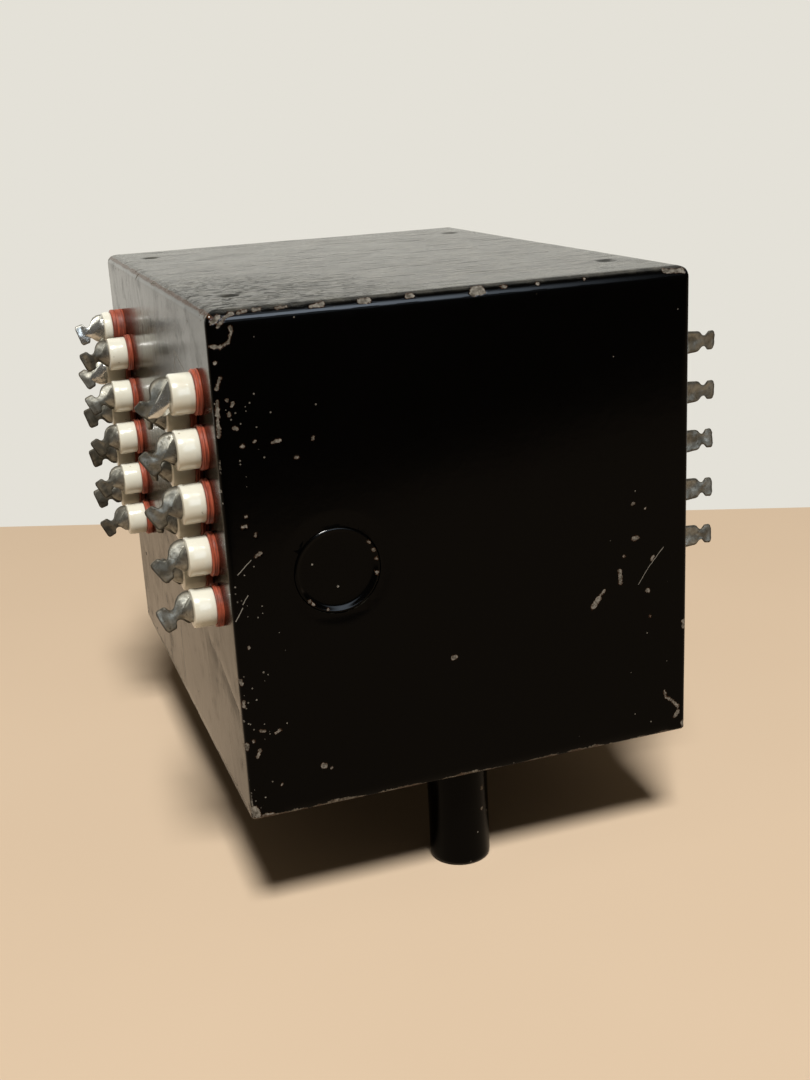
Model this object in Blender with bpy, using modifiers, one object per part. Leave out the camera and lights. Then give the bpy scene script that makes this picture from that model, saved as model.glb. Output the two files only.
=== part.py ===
"""A two-section, five-gang tuning capacitor sealed in a black enamelled steel can.

Metres, +Z up. The origin is on the ground, under the centre of the can. The face with the filler plug looks
along -Y. The object stands on the ends of its two tuning shafts, which leave the can through its base cover.
"""

import math

import bmesh
import bpy

MM = 0.001

# ---- Driving dimensions, in millimetres ----
CAN_WIDTH = 97.0
CAN_DEPTH = 129.0
CAN_HEIGHT = 100.0
CAN_WALL = 1.2
TOP_EDGE_RADIUS = 2.2
CORNER_RADIUS = 1.0
STAND_HEIGHT = 26.0
GAP = 0.3

MOUNT_HOLE_SPACING_X = 80.0
MOUNT_HOLE_SPACING_Y = 90.0
MOUNT_HOLE_RADIUS = 2.0
MOUNT_HOLE_DEPTH = 0.7

PLUG_X = -27.5
PLUG_HEIGHT = 48.7
PLUG_RADIUS = 8.5
PLUG_FLANGE_RADIUS = 10.1
PLUG_FLANGE_THICKNESS = 0.8
# The plug's face below the wall's outside: its dish at the middle and the rim, and its outer rim.
PLUG_DISH = ((0.0, -0.9), (PLUG_RADIUS - 1.4, -0.8), (PLUG_RADIUS - 0.8, -0.15), (PLUG_RADIUS, -0.25))

TERMINAL_PITCH = 10.6
OUTER_COLUMN_MIDDLE = 62.5
INNER_COLUMN_MIDDLE = OUTER_COLUMN_MIDDLE - TERMINAL_PITCH / 2
RIGHT_COLUMN_MIDDLE = 61.5

# Distances along a terminal are from the wall: positive outwards.
CERAMIC_RADIUS = 3.9
CERAMIC_INSIDE = -3.2
NECK_RADIUS = 2.2
FIBRE_WASHER_RADIUS = 4.4
FIBRE_WASHER_END = 1.3
STUD_RADIUS = 0.9
STUD_INSIDE = -9.0
TALL_TERMINAL = (5.7, 12.0)
SHORT_TERMINAL = (3.6, 12.0)
TAG_THICKNESS = 0.6
TAG_ROOT = 0.7
# Half-width of a solder tag at distances back from its tip.
TAG_OUTLINE = ((2.2, 4.6), (0.9, 3.0), (0.9, 2.0), (2.15, 1.3), (2.15, 0.0))

BASE_THICKNESS = 1.5
BASE_RECESS = 1.5
PLATE_CORNER_RADIUS = 1.0

SHAFT_INSET = 14.0
SHAFT_RADIUS = 6.6
SHAFT_CHAMFER = 0.5
SPINDLE_RADIUS = 3.0
SPINDLE_ABOVE_PLATE = 3.0
BUSH_RADIUS = 5.0
BUSH_TOP = 12.0
FLANGE_RADIUS = 8.0
FLANGE_THICKNESS = 1.6

GEAR_MODULE = 0.875
PINION_TEETH = 12
GEAR_TEETH = 36
GEAR_HEIGHT = 25.5
GEAR_THICKNESS = 3.0
PINION_THICKNESS = 5.0
TOOTH_ROOT_DEPTH = 0.8
TOOTH_TIP_HEIGHT = 0.6
TOOTH_ROOT_HALF_WIDTH = 0.75
TOOTH_TIP_HALF_WIDTH = 0.36

GANGS = 5
PLATE_THICKNESS = 0.6
PLATE_PITCH = 2.4
ROTOR_RADIUS = 24.0
ROTOR_HUB_RADIUS = 5.0
ROTOR_HUB_MARGIN = 2.0
ROTOR_SPINDLE_END = 4.0
STATOR_ARC_RADIUS = ROTOR_RADIUS + 3.5
STATOR_ARC_START = 93
STATOR_ARC_SWEEP = 33
STATOR_BLOCK = (-33.0, 14.0)
STATOR_NOTCH_RADIUS = ROTOR_HUB_RADIUS + 1.5
STATOR_NOTCH_HALF_ANGLE = 77
STATOR_POST_X = -30.0
STATOR_POST_RADIUS = 1.5

LOWER_PLATE_HEIGHT = 32.0
UPPER_PLATE_HEIGHT = 91.0
FRAME_PLATE_THICKNESS = 2.0
FRAME_PLATE_SIZE = (78.0, 124.0)
TIE_ROD_X = 34.0
TIE_ROD_Y = 57.5
TIE_ROD_RADIUS = 2.2
TIE_SLEEVE_RADIUS = 3.8
TIE_NUT_HEIGHT = 2.6
RIVET_HEAD_HEIGHT = 0.8
TOP_BEARING_RADIUS = 6.0
TOP_BEARING_FLANGE = (8.0, 1.2)
STATOR_ROD_RADIUS = 2.0
STATOR_ROD_PLACES = ((-28.5, 9.0), (-28.5, -9.0))

# ---- Derived positions ----
SHAFT_Y = CAN_DEPTH / 2 - SHAFT_INSET
ROTOR_Y = SHAFT_Y - GEAR_MODULE * (PINION_TEETH + GEAR_TEETH) / 2
SECTIONS = {"front": -1, "rear": 1}

# Each column of terminals: side of the can, distance behind its front face, height of the column's middle,
# number of pieces, and where the ceramic and the tag end.
TERMINAL_COLUMNS = {
    "left_front_outer": (-1, 12.5, OUTER_COLUMN_MIDDLE, 5, TALL_TERMINAL),
    "left_front_inner": (-1, 21.0, INNER_COLUMN_MIDDLE, 4, TALL_TERMINAL),
    "left_rear_inner": (-1, 101.5, INNER_COLUMN_MIDDLE, 5, TALL_TERMINAL),
    "left_rear_outer": (-1, 110.0, OUTER_COLUMN_MIDDLE, 5, TALL_TERMINAL),
    "right_front": (1, 10.5, RIGHT_COLUMN_MIDDLE, 5, SHORT_TERMINAL),
}


# ---- Materials: colour, roughness, metallic ----
FINISHES = {
    "black_enamel": ((0.012, 0.011, 0.010), 0.22, 0.0),
    "tinned_terminal": ((0.80, 0.78, 0.71), 0.35, 0.0),
    "plated_steel": ((0.55, 0.55, 0.53), 0.35, 1.0),
    "brass": ((0.66, 0.50, 0.25), 0.35, 1.0),
    "aluminium": ((0.76, 0.77, 0.78), 0.40, 1.0),
    "steatite": ((0.86, 0.84, 0.77), 0.45, 0.0),
}


def make_material(name):
    color, roughness, metallic = FINISHES[name]
    material = bpy.data.materials.new(name)
    material.use_nodes = True
    shader = material.node_tree.nodes["Principled BSDF"]
    shader.inputs["Base Color"].default_value = (*color, 1.0)
    shader.inputs["Roughness"].default_value = roughness
    shader.inputs["Metallic"].default_value = metallic
    return material


def clear_scene():
    for old in list(bpy.data.objects):
        bpy.data.objects.remove(old, do_unlink=True)


def make_collection(name):
    collection = bpy.data.collections.new(name)
    bpy.context.scene.collection.children.link(collection)
    return collection


clear_scene()
PARTS = make_collection("tuning_capacitor")
HELPERS = make_collection("cutters")
MATERIALS = {name: make_material(name) for name in FINISHES}


def place(name, mesh, finish, at=(0, 0, 0), turn=(0, 0, 0)):
    """One sub-part: an object with its own name, material, location in millimetres and rotation in degrees."""
    obj = bpy.data.objects.new(name, mesh)
    obj.location = [value * MM for value in at]
    obj.rotation_euler = [math.radians(angle) for angle in turn]
    if not mesh.materials:
        mesh.materials.append(MATERIALS[finish])
    PARTS.objects.link(obj)
    return obj


def helper(name, mesh, at=(0, 0, 0), turn=(0, 0, 0)):
    """A shape that only cuts or joins: it is left out of renders and of the part."""
    obj = bpy.data.objects.new(name, mesh)
    obj.location = [value * MM for value in at]
    obj.rotation_euler = [math.radians(angle) for angle in turn]
    obj.hide_render = True
    obj.display_type = "WIRE"
    HELPERS.objects.link(obj)
    return obj


def boolean(obj, other, operation):
    modifier = obj.modifiers.new(f"{operation.lower()}_{other.name}", "BOOLEAN")
    modifier.operation = operation
    modifier.object = other
    modifier.solver = "EXACT"


def smooth_round(mesh):
    mesh.shade_smooth()
    mesh.set_sharp_from_angle(angle=math.radians(35))


def mesh_from(name, bm):
    bmesh.ops.recalc_face_normals(bm, faces=bm.faces)
    mesh = bpy.data.meshes.new(name)
    bm.to_mesh(mesh)
    bm.free()
    return mesh


def evaluated_mesh(obj, name):
    """The object's modifiers or curve turned into a welded mesh, and the object removed."""
    bpy.context.view_layer.update()
    graph = bpy.context.evaluated_depsgraph_get()
    mesh = bpy.data.meshes.new_from_object(obj.evaluated_get(graph))
    bpy.data.objects.remove(obj, do_unlink=True)
    bm = bmesh.new()
    bm.from_mesh(mesh)
    bmesh.ops.remove_doubles(bm, verts=bm.verts, dist=0.000001)
    result = mesh_from(name, bm)
    smooth_round(result)
    return result


def box_mesh(name, size):
    bm = bmesh.new()
    bmesh.ops.create_cube(bm, size=1.0)
    bmesh.ops.scale(bm, vec=[side * MM for side in size], verts=bm.verts)
    return mesh_from(name, bm)


def cylinders_mesh(name, places, radius, length, segments, axis="Z"):
    """Equal cylinders side by side in one mesh, centred on the given places."""
    bm = bmesh.new()
    for place_mm in places:
        made = bmesh.ops.create_cone(
            bm,
            cap_ends=True,
            segments=segments,
            radius1=radius * MM,
            radius2=radius * MM,
            depth=length * MM,
        )
        if axis == "X":
            for vert in made["verts"]:
                vert.co = (vert.co.z, vert.co.y, -vert.co.x)
        bmesh.ops.translate(bm, vec=[value * MM for value in place_mm], verts=made["verts"])
    return mesh_from(name, bm)


def turned_object(name, profile, segments):
    """A profile of (radius, height), listed from top to bottom, turned once about Z."""
    mesh = bpy.data.meshes.new(name)
    points = [(radius * MM, 0.0, height * MM) for radius, height in profile]
    mesh.from_pydata(points, [(i, i + 1) for i in range(len(points) - 1)], [])
    obj = bpy.data.objects.new(name, mesh)
    HELPERS.objects.link(obj)
    screw = obj.modifiers.new("turn", "SCREW")
    screw.steps = segments
    screw.render_steps = segments
    screw.use_merge_vertices = True
    screw.merge_threshold = 0.00001
    return obj


def turned_mesh(name, profile, segments):
    return evaluated_mesh(turned_object(name, profile, segments), name)


def circle_points(center, radius, segments, start=0.0, sweep=360.0):
    """Points on an arc, both ends included unless it is a whole circle."""
    whole = abs(sweep) >= 360.0
    count = segments if whole else segments + 1
    angles = [math.radians(start + sweep * i / segments) for i in range(count)]
    return [(center[0] + radius * math.cos(a), center[1] + radius * math.sin(a)) for a in angles]


def sheet_mesh(name, outline, holes, thickness):
    """A flat plate from a closed outline and round holes given as (center, radius, segments)."""
    curve = bpy.data.curves.new(name, "CURVE")
    curve.dimensions = "2D"
    curve.fill_mode = "BOTH"
    curve.extrude = thickness / 2 * MM
    loops = [outline] + [circle_points(*hole) for hole in holes]
    for loop in loops:
        spline = curve.splines.new("POLY")
        spline.points.add(len(loop) - 1)
        for point, (x, y) in zip(spline.points, loop):
            point.co = (x * MM, y * MM, 0.0, 1.0)
        spline.use_cyclic_u = True
    obj = bpy.data.objects.new(name, curve)
    HELPERS.objects.link(obj)
    return evaluated_mesh(obj, name)


def stacked(name, mesh, heights):
    """Copies of a plate in one mesh, one at each height."""
    bm = bmesh.new()
    for height in heights:
        before = len(bm.verts)
        bm.from_mesh(mesh)
        bm.verts.ensure_lookup_table()
        bmesh.ops.translate(bm, vec=(0, 0, height * MM), verts=bm.verts[before:])
    return mesh_from(name, bm)


def rectangle(width, depth, corner):
    """A rectangle with cut corners, centred on the origin."""
    x = width / 2
    y = depth / 2
    quarter = [(x, y - corner), (x - corner, y), (corner - x, y), (-x, y - corner)]
    return quarter + [(-px, -py) for px, py in quarter]


def column_heights(middle, count):
    """Heights down a column whose first piece is two pitches above the middle."""
    return [middle + TERMINAL_PITCH * (2 - i) for i in range(count)]


def terminal_places():
    """Every terminal as (name, kind, side of the can, y, height above the can's bottom edge)."""
    found = []
    for column, (side, behind, middle, count, kind) in TERMINAL_COLUMNS.items():
        for i, height in enumerate(column_heights(middle, count)):
            found.append((f"terminal_{column}_{i + 1}", kind, side, behind - CAN_DEPTH / 2, height))
    return found


def above_can_bottom(height):
    return STAND_HEIGHT + height


# ---- The sealed can ----
def can_mesh():
    """The drawn can as a solid block: rounded upright corners, then a rounder edge all round the top."""
    bm = bmesh.new()
    bmesh.ops.create_cube(bm, size=1.0)
    bmesh.ops.scale(bm, vec=(CAN_WIDTH * MM, CAN_DEPTH * MM, CAN_HEIGHT * MM), verts=bm.verts)
    half = CAN_HEIGHT / 2 * MM
    upright = [e for e in bm.edges if abs(e.verts[0].co.z - e.verts[1].co.z) > half]
    bmesh.ops.bevel(bm, geom=upright, offset=CORNER_RADIUS * MM, segments=2, affect="EDGES", profile=0.5)
    top = [e for e in bm.edges if all(v.co.z > half * 0.999 for v in e.verts)]
    bmesh.ops.bevel(bm, geom=top, offset=TOP_EDGE_RADIUS * MM, segments=3, affect="EDGES", profile=0.5)
    return mesh_from("can_shell", bm)


def build_can():
    middle = above_can_bottom(CAN_HEIGHT / 2)
    can = place("can_shell", can_mesh(), "black_enamel", at=(0, 0, middle))
    inside = (CAN_WIDTH - 2 * CAN_WALL, CAN_DEPTH - 2 * CAN_WALL, CAN_HEIGHT)
    boolean(can, helper("can_inside", box_mesh("can_inside", inside), at=(0, 0, middle - CAN_WALL)), "DIFFERENCE")
    neck_places = []
    for _, _, side, y, height in terminal_places():
        neck_places.append((side * CAN_WIDTH / 2, y, above_can_bottom(height)))
    necks = cylinders_mesh("bush_holes", neck_places, NECK_RADIUS + GAP, 4 * CAN_WALL, 10, axis="X")
    boolean(can, helper("bush_holes", necks), "DIFFERENCE")
    plug_hole = cylinders_mesh("plug_hole", [(0, 0, 0)], PLUG_RADIUS + GAP, 4 * CAN_WALL, 32)
    plug_at = (PLUG_X, -CAN_DEPTH / 2, above_can_bottom(PLUG_HEIGHT))
    boolean(can, helper("plug_hole", plug_hole, at=plug_at, turn=(90, 0, 0)), "DIFFERENCE")
    top = above_can_bottom(CAN_HEIGHT)
    hole_places = []
    for x in (-MOUNT_HOLE_SPACING_X / 2, MOUNT_HOLE_SPACING_X / 2):
        for y in (-MOUNT_HOLE_SPACING_Y / 2, MOUNT_HOLE_SPACING_Y / 2):
            hole_places.append((x, y, top))
    mount_holes = cylinders_mesh("mount_holes", hole_places, MOUNT_HOLE_RADIUS, 2 * MOUNT_HOLE_DEPTH, 16)
    boolean(can, helper("mount_holes", mount_holes), "DIFFERENCE")


def build_base_cover():
    """The soldered-in bottom, set a little way up inside the can's rim."""
    width = CAN_WIDTH - 2 * (CAN_WALL + GAP)
    depth = CAN_DEPTH - 2 * (CAN_WALL + GAP)
    holes = [((0, side * SHAFT_Y), BUSH_RADIUS + GAP, 20) for side in SECTIONS.values()]
    for x in (-TIE_ROD_X, TIE_ROD_X):
        for y in (-TIE_ROD_Y, TIE_ROD_Y):
            holes.append(((x, y), TIE_ROD_RADIUS + GAP, 12))
    mesh = sheet_mesh("base_cover", rectangle(width, depth, PLATE_CORNER_RADIUS), holes, BASE_THICKNESS)
    place("base_cover", mesh, "black_enamel", at=(0, 0, above_can_bottom(BASE_RECESS + BASE_THICKNESS / 2)))


def build_filler_plug():
    """A dished disc with a raised rim, held behind the wall by its flange."""
    back = -(CAN_WALL + GAP)
    profile = list(PLUG_DISH) + [
        (PLUG_RADIUS, back),
        (PLUG_FLANGE_RADIUS, back),
        (PLUG_FLANGE_RADIUS, back - PLUG_FLANGE_THICKNESS),
        (0.0, back - PLUG_FLANGE_THICKNESS),
    ]
    at = (PLUG_X, -CAN_DEPTH / 2, above_can_bottom(PLUG_HEIGHT))
    place("filler_plug", turned_mesh("filler_plug", profile, 32), "black_enamel", at=at, turn=(90, 0, 0))


# ---- Feed-through terminals ----
def terminal_mesh(ceramic_end, tip):
    """Ceramic, washer, stud and solder tag, with +Z pointing out of the wall and the tag's width along X."""
    profile = [
        (0.0, ceramic_end),
        (CERAMIC_RADIUS, ceramic_end),
        (CERAMIC_RADIUS, FIBRE_WASHER_END),
        (FIBRE_WASHER_RADIUS, FIBRE_WASHER_END),
        (FIBRE_WASHER_RADIUS, GAP),
        (NECK_RADIUS, GAP),
        (NECK_RADIUS, CERAMIC_INSIDE),
        (STUD_RADIUS, CERAMIC_INSIDE),
        (STUD_RADIUS, STUD_INSIDE),
        (0.0, STUD_INSIDE),
    ]
    bush = turned_object("terminal", profile, 10)
    half = [(TAG_OUTLINE[0][0], ceramic_end - TAG_ROOT)]
    half += [(half_width, tip - back) for half_width, back in TAG_OUTLINE]
    outline = half + [(-x, z) for x, z in reversed(half)]
    tag = helper("tag", sheet_mesh("tag", outline, [], TAG_THICKNESS), turn=(90, 0, 0))
    boolean(bush, tag, "UNION")
    return evaluated_mesh(bush, "terminal")


def build_terminals():
    meshes = {kind: terminal_mesh(*kind) for kind in (TALL_TERMINAL, SHORT_TERMINAL)}
    for name, kind, side, y, height in terminal_places():
        at = (side * CAN_WIDTH / 2, y, above_can_bottom(height))
        place(name, meshes[kind], "tinned_terminal", at=at, turn=(0, side * 90, 0))


# ---- The frame that carries both sections ----
def build_frame():
    width, depth = FRAME_PLATE_SIZE
    outline = rectangle(width, depth, 3.0)
    rod_holes = []
    for x in (-TIE_ROD_X, TIE_ROD_X):
        for y in (-TIE_ROD_Y, TIE_ROD_Y):
            rod_holes.append(((x, y), TIE_ROD_RADIUS + GAP, 12))
    stator_holes = []
    for side in SECTIONS.values():
        for x, y in STATOR_ROD_PLACES:
            stator_holes.append(((x, side * ROTOR_Y + y), STATOR_ROD_RADIUS + GAP, 12))
    lower_holes = list(rod_holes)
    upper_holes = list(rod_holes) + stator_holes
    for side in SECTIONS.values():
        lower_holes.append(((0, side * SHAFT_Y), SPINDLE_RADIUS + GAP, 16))
        lower_holes.append(((0, side * ROTOR_Y), SPINDLE_RADIUS + GAP, 16))
        upper_holes.append(((0, side * ROTOR_Y), TOP_BEARING_RADIUS + GAP, 20))
    lower_holes += stator_holes
    lower = sheet_mesh("frame_lower_plate", outline, lower_holes, FRAME_PLATE_THICKNESS)
    place("frame_lower_plate", lower, "plated_steel", at=(0, 0, above_can_bottom(LOWER_PLATE_HEIGHT)))
    upper = sheet_mesh("frame_upper_plate", outline, upper_holes, FRAME_PLATE_THICKNESS)
    place("frame_upper_plate", upper, "plated_steel", at=(0, 0, above_can_bottom(UPPER_PLATE_HEIGHT)))


def tie_rod_mesh():
    """A rod with its two spacing sleeves, the riveted foot and the top nut, from the base cover upwards."""
    half_plate = FRAME_PLATE_THICKNESS / 2 + GAP
    cover_bottom = BASE_RECESS - GAP
    cover_top = BASE_RECESS + BASE_THICKNESS + GAP
    profile = [
        (0.0, UPPER_PLATE_HEIGHT + half_plate + TIE_NUT_HEIGHT),
        (TIE_SLEEVE_RADIUS, UPPER_PLATE_HEIGHT + half_plate + TIE_NUT_HEIGHT),
        (TIE_SLEEVE_RADIUS, UPPER_PLATE_HEIGHT + half_plate),
        (TIE_ROD_RADIUS, UPPER_PLATE_HEIGHT + half_plate),
        (TIE_ROD_RADIUS, UPPER_PLATE_HEIGHT - half_plate),
        (TIE_SLEEVE_RADIUS, UPPER_PLATE_HEIGHT - half_plate),
        (TIE_SLEEVE_RADIUS, LOWER_PLATE_HEIGHT + half_plate),
        (TIE_ROD_RADIUS, LOWER_PLATE_HEIGHT + half_plate),
        (TIE_ROD_RADIUS, LOWER_PLATE_HEIGHT - half_plate),
        (TIE_SLEEVE_RADIUS, LOWER_PLATE_HEIGHT - half_plate),
        (TIE_SLEEVE_RADIUS, cover_top),
        (TIE_ROD_RADIUS, cover_top),
        (TIE_ROD_RADIUS, cover_bottom),
        (TIE_SLEEVE_RADIUS, cover_bottom),
        (TIE_SLEEVE_RADIUS, cover_bottom - RIVET_HEAD_HEIGHT),
        (0.0, cover_bottom - RIVET_HEAD_HEIGHT),
    ]
    return turned_mesh("frame_tie_rod", profile, 10)


def build_tie_rods():
    mesh = tie_rod_mesh()
    corners = [(x, y) for x in (-TIE_ROD_X, TIE_ROD_X) for y in (-TIE_ROD_Y, TIE_ROD_Y)]
    for i, (x, y) in enumerate(corners):
        place(f"frame_tie_rod_{i + 1}", mesh, "plated_steel", at=(x, y, STAND_HEIGHT))


# ---- Drive ----
def shaft_mesh():
    """The thick outer end with its chamfered foot, and the thinner spindle inside the can."""
    shoulder = STAND_HEIGHT + BASE_RECESS - SHAFT_CHAMFER
    top = above_can_bottom(LOWER_PLATE_HEIGHT + SPINDLE_ABOVE_PLATE)
    profile = [
        (0.0, top),
        (SPINDLE_RADIUS, top),
        (SPINDLE_RADIUS, shoulder),
        (SHAFT_RADIUS, shoulder),
        (SHAFT_RADIUS, SHAFT_CHAMFER),
        (SHAFT_RADIUS - SHAFT_CHAMFER, 0.0),
        (0.0, 0.0),
    ]
    return turned_mesh("tuning_shaft", profile, 32)


def bush_mesh():
    """The flanged bush that carries the shaft in the base cover."""
    cover_top = BASE_RECESS + BASE_THICKNESS + GAP
    profile = [
        (SPINDLE_RADIUS + GAP, BUSH_TOP),
        (BUSH_RADIUS, BUSH_TOP),
        (BUSH_RADIUS, cover_top + FLANGE_THICKNESS),
        (FLANGE_RADIUS, cover_top + FLANGE_THICKNESS),
        (FLANGE_RADIUS, cover_top),
        (BUSH_RADIUS, cover_top),
        (BUSH_RADIUS, BASE_RECESS),
        (SPINDLE_RADIUS + GAP, BASE_RECESS),
        (SPINDLE_RADIUS + GAP, BUSH_TOP),
    ]
    return turned_mesh("shaft_bush", profile, 16)


def gear_outline(teeth):
    """Straight-sided teeth with backlash, on the pitch circle of the given number of teeth."""
    pitch_radius = GEAR_MODULE * teeth / 2
    root = pitch_radius - TOOTH_ROOT_DEPTH
    tip = pitch_radius + TOOTH_TIP_HEIGHT
    root_half = TOOTH_ROOT_HALF_WIDTH / root
    tip_half = TOOTH_TIP_HALF_WIDTH / tip
    points = []
    for i in range(teeth):
        middle = 2 * math.pi * i / teeth
        corners = ((root, -root_half), (tip, -tip_half), (tip, tip_half), (root, root_half))
        for radius, offset in corners:
            points.append((radius * math.cos(middle + offset), radius * math.sin(middle + offset)))
    return points


def build_drive():
    shaft = shaft_mesh()
    bush = bush_mesh()
    bore = ((0, 0), SPINDLE_RADIUS + GAP, 12)
    pinion = sheet_mesh("drive_pinion", gear_outline(PINION_TEETH), [bore], PINION_THICKNESS)
    gear = sheet_mesh("rotor_gear", gear_outline(GEAR_TEETH), [bore], GEAR_THICKNESS)
    height = above_can_bottom(GEAR_HEIGHT)
    half_tooth = 180 / PINION_TEETH
    for section, side in SECTIONS.items():
        place(f"tuning_shaft_{section}", shaft, "black_enamel", at=(0, side * SHAFT_Y, 0))
        place(f"shaft_bush_{section}", bush, "brass", at=(0, side * SHAFT_Y, STAND_HEIGHT))
        at = (0, side * SHAFT_Y, height)
        place(f"drive_pinion_{section}", pinion, "brass", at=at, turn=(0, 0, half_tooth))
        place(f"rotor_gear_{section}", gear, "brass", at=(0, side * ROTOR_Y, height))


# ---- Rotors and stators ----
def gang_heights():
    return column_heights(OUTER_COLUMN_MIDDLE, GANGS)


def rotor_mesh():
    """Three half-round plates for each gang, swaged on one spindle. Heights are above the can's bottom edge."""
    outline = circle_points((0, 0), ROTOR_RADIUS, 12, start=90, sweep=180)
    plate = sheet_mesh("rotor_plate", outline, [], PLATE_THICKNESS)
    heights = [gang + PLATE_PITCH * step for gang in gang_heights() for step in (-1, 0, 1)]
    plates = helper("rotor_plates", stacked("rotor_plates", plate, heights))
    hub_top = max(heights) + ROTOR_HUB_MARGIN
    hub_bottom = min(heights) - ROTOR_HUB_MARGIN
    profile = [
        (0.0, UPPER_PLATE_HEIGHT + ROTOR_SPINDLE_END),
        (SPINDLE_RADIUS, UPPER_PLATE_HEIGHT + ROTOR_SPINDLE_END),
        (SPINDLE_RADIUS, hub_top),
        (ROTOR_HUB_RADIUS, hub_top),
        (ROTOR_HUB_RADIUS, hub_bottom),
        (SPINDLE_RADIUS, hub_bottom),
        (SPINDLE_RADIUS, GEAR_HEIGHT - ROTOR_SPINDLE_END),
        (0.0, GEAR_HEIGHT - ROTOR_SPINDLE_END),
    ]
    spindle = turned_object("rotor", profile, 12)
    boolean(spindle, plates, "UNION")
    return evaluated_mesh(spindle, "rotor")


def stator_outline():
    """A half-round plate, squared off at the left for its rods and notched round the spindle."""
    arc = circle_points((0, 0), STATOR_ARC_RADIUS, 4, start=STATOR_ARC_START, sweep=STATOR_ARC_SWEEP)
    block_x, block_y = STATOR_BLOCK
    block = [(block_x, block_y), (block_x, -block_y)]
    lower_arc = [(x, -y) for x, y in reversed(arc)]
    start = 180 + STATOR_NOTCH_HALF_ANGLE
    notch = circle_points((0, 0), STATOR_NOTCH_RADIUS, 5, start=start, sweep=-2 * STATOR_NOTCH_HALF_ANGLE)
    return arc + block + lower_arc + notch


def stator_mesh():
    """Two plates that sit between the rotor's three, joined by a soldered post outside the rotor's reach."""
    holes = [(at, STATOR_ROD_RADIUS + GAP, 8) for at in STATOR_ROD_PLACES]
    plate = sheet_mesh("stator_plate", stator_outline(), holes, PLATE_THICKNESS)
    plates = helper("stator_plates", stacked("stator_plates", plate, (-PLATE_PITCH / 2, PLATE_PITCH / 2)))
    length = PLATE_PITCH + 2 * STATOR_POST_RADIUS
    post_mesh = cylinders_mesh("stator_post", [(STATOR_POST_X, 0, 0)], STATOR_POST_RADIUS, length, 8)
    post = helper("stator_post", post_mesh)
    boolean(plates, post, "UNION")
    return evaluated_mesh(plates, "stator")


def stator_rod_mesh():
    """A steatite rod that holds one edge of all five stators, from the lower frame plate to the upper one."""
    bottom = LOWER_PLATE_HEIGHT - FRAME_PLATE_THICKNESS / 2
    top = UPPER_PLATE_HEIGHT + FRAME_PLATE_THICKNESS / 2
    profile = [(0.0, top), (STATOR_ROD_RADIUS, top), (STATOR_ROD_RADIUS, bottom), (0.0, bottom)]
    return turned_mesh("stator_rod", profile, 10)


def top_bearing_mesh():
    """The flanged ring in the upper frame plate that carries the top of a rotor."""
    seat = FRAME_PLATE_THICKNESS / 2 + GAP
    bearing_end = seat + GAP
    flange_radius, flange_thickness = TOP_BEARING_FLANGE
    profile = [
        (SPINDLE_RADIUS + GAP, seat + flange_thickness),
        (flange_radius, seat + flange_thickness),
        (flange_radius, seat),
        (TOP_BEARING_RADIUS, seat),
        (TOP_BEARING_RADIUS, -bearing_end),
        (SPINDLE_RADIUS + GAP, -bearing_end),
        (SPINDLE_RADIUS + GAP, seat + flange_thickness),
    ]
    return turned_mesh("top_bearing", profile, 16)


def build_sections():
    rotor = rotor_mesh()
    stator = stator_mesh()
    rod = stator_rod_mesh()
    bearing = top_bearing_mesh()
    for section, side in SECTIONS.items():
        y = side * ROTOR_Y
        place(f"rotor_{section}", rotor, "aluminium", at=(0, y, STAND_HEIGHT))
        for i, height in enumerate(gang_heights()):
            place(f"stator_{section}_{i + 1}", stator, "aluminium", at=(0, y, above_can_bottom(height)))
        for label, (rod_x, rod_y) in zip(("a", "b"), STATOR_ROD_PLACES):
            place(f"stator_rod_{section}_{label}", rod, "steatite", at=(rod_x, y + rod_y, STAND_HEIGHT))
        at = (0, y, above_can_bottom(UPPER_PLATE_HEIGHT))
        place(f"top_bearing_{section}", bearing, "brass", at=at)


build_can()
build_base_cover()
build_filler_plug()
build_terminals()
build_frame()
build_tie_rods()
build_drive()
build_sections()
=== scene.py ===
"""Looks of a sealed two-section tuning capacitor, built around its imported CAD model.

The tables below are in millimetres; everything in the scene is in metres. Places on the can are
measured from the lower left corner of its front face: x to the right, y to the back and z up.
"""

import random
from math import copysign, cos, hypot, pi, radians, sin, tan

import bmesh
import bpy
import numpy as np
from mathutils import Matrix, Vector, noise


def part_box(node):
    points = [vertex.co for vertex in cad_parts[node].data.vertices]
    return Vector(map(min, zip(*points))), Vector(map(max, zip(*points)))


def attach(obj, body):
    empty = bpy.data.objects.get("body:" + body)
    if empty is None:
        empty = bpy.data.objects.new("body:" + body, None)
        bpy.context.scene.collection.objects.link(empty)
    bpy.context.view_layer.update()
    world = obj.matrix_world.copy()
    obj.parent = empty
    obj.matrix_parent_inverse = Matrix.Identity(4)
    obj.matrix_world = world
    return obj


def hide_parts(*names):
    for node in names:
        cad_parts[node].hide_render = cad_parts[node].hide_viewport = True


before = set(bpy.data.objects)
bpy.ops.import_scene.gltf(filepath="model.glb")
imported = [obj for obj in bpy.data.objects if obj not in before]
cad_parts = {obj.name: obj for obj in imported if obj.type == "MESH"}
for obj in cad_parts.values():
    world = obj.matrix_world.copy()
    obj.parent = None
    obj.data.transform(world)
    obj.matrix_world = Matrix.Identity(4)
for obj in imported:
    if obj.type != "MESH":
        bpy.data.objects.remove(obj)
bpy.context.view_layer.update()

MM = 0.001
CAN_LOW, CAN_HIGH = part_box("can_shell")
CAN_SIZE = CAN_HIGH - CAN_LOW
PLUG_LOW, PLUG_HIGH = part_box("filler_plug")

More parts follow.
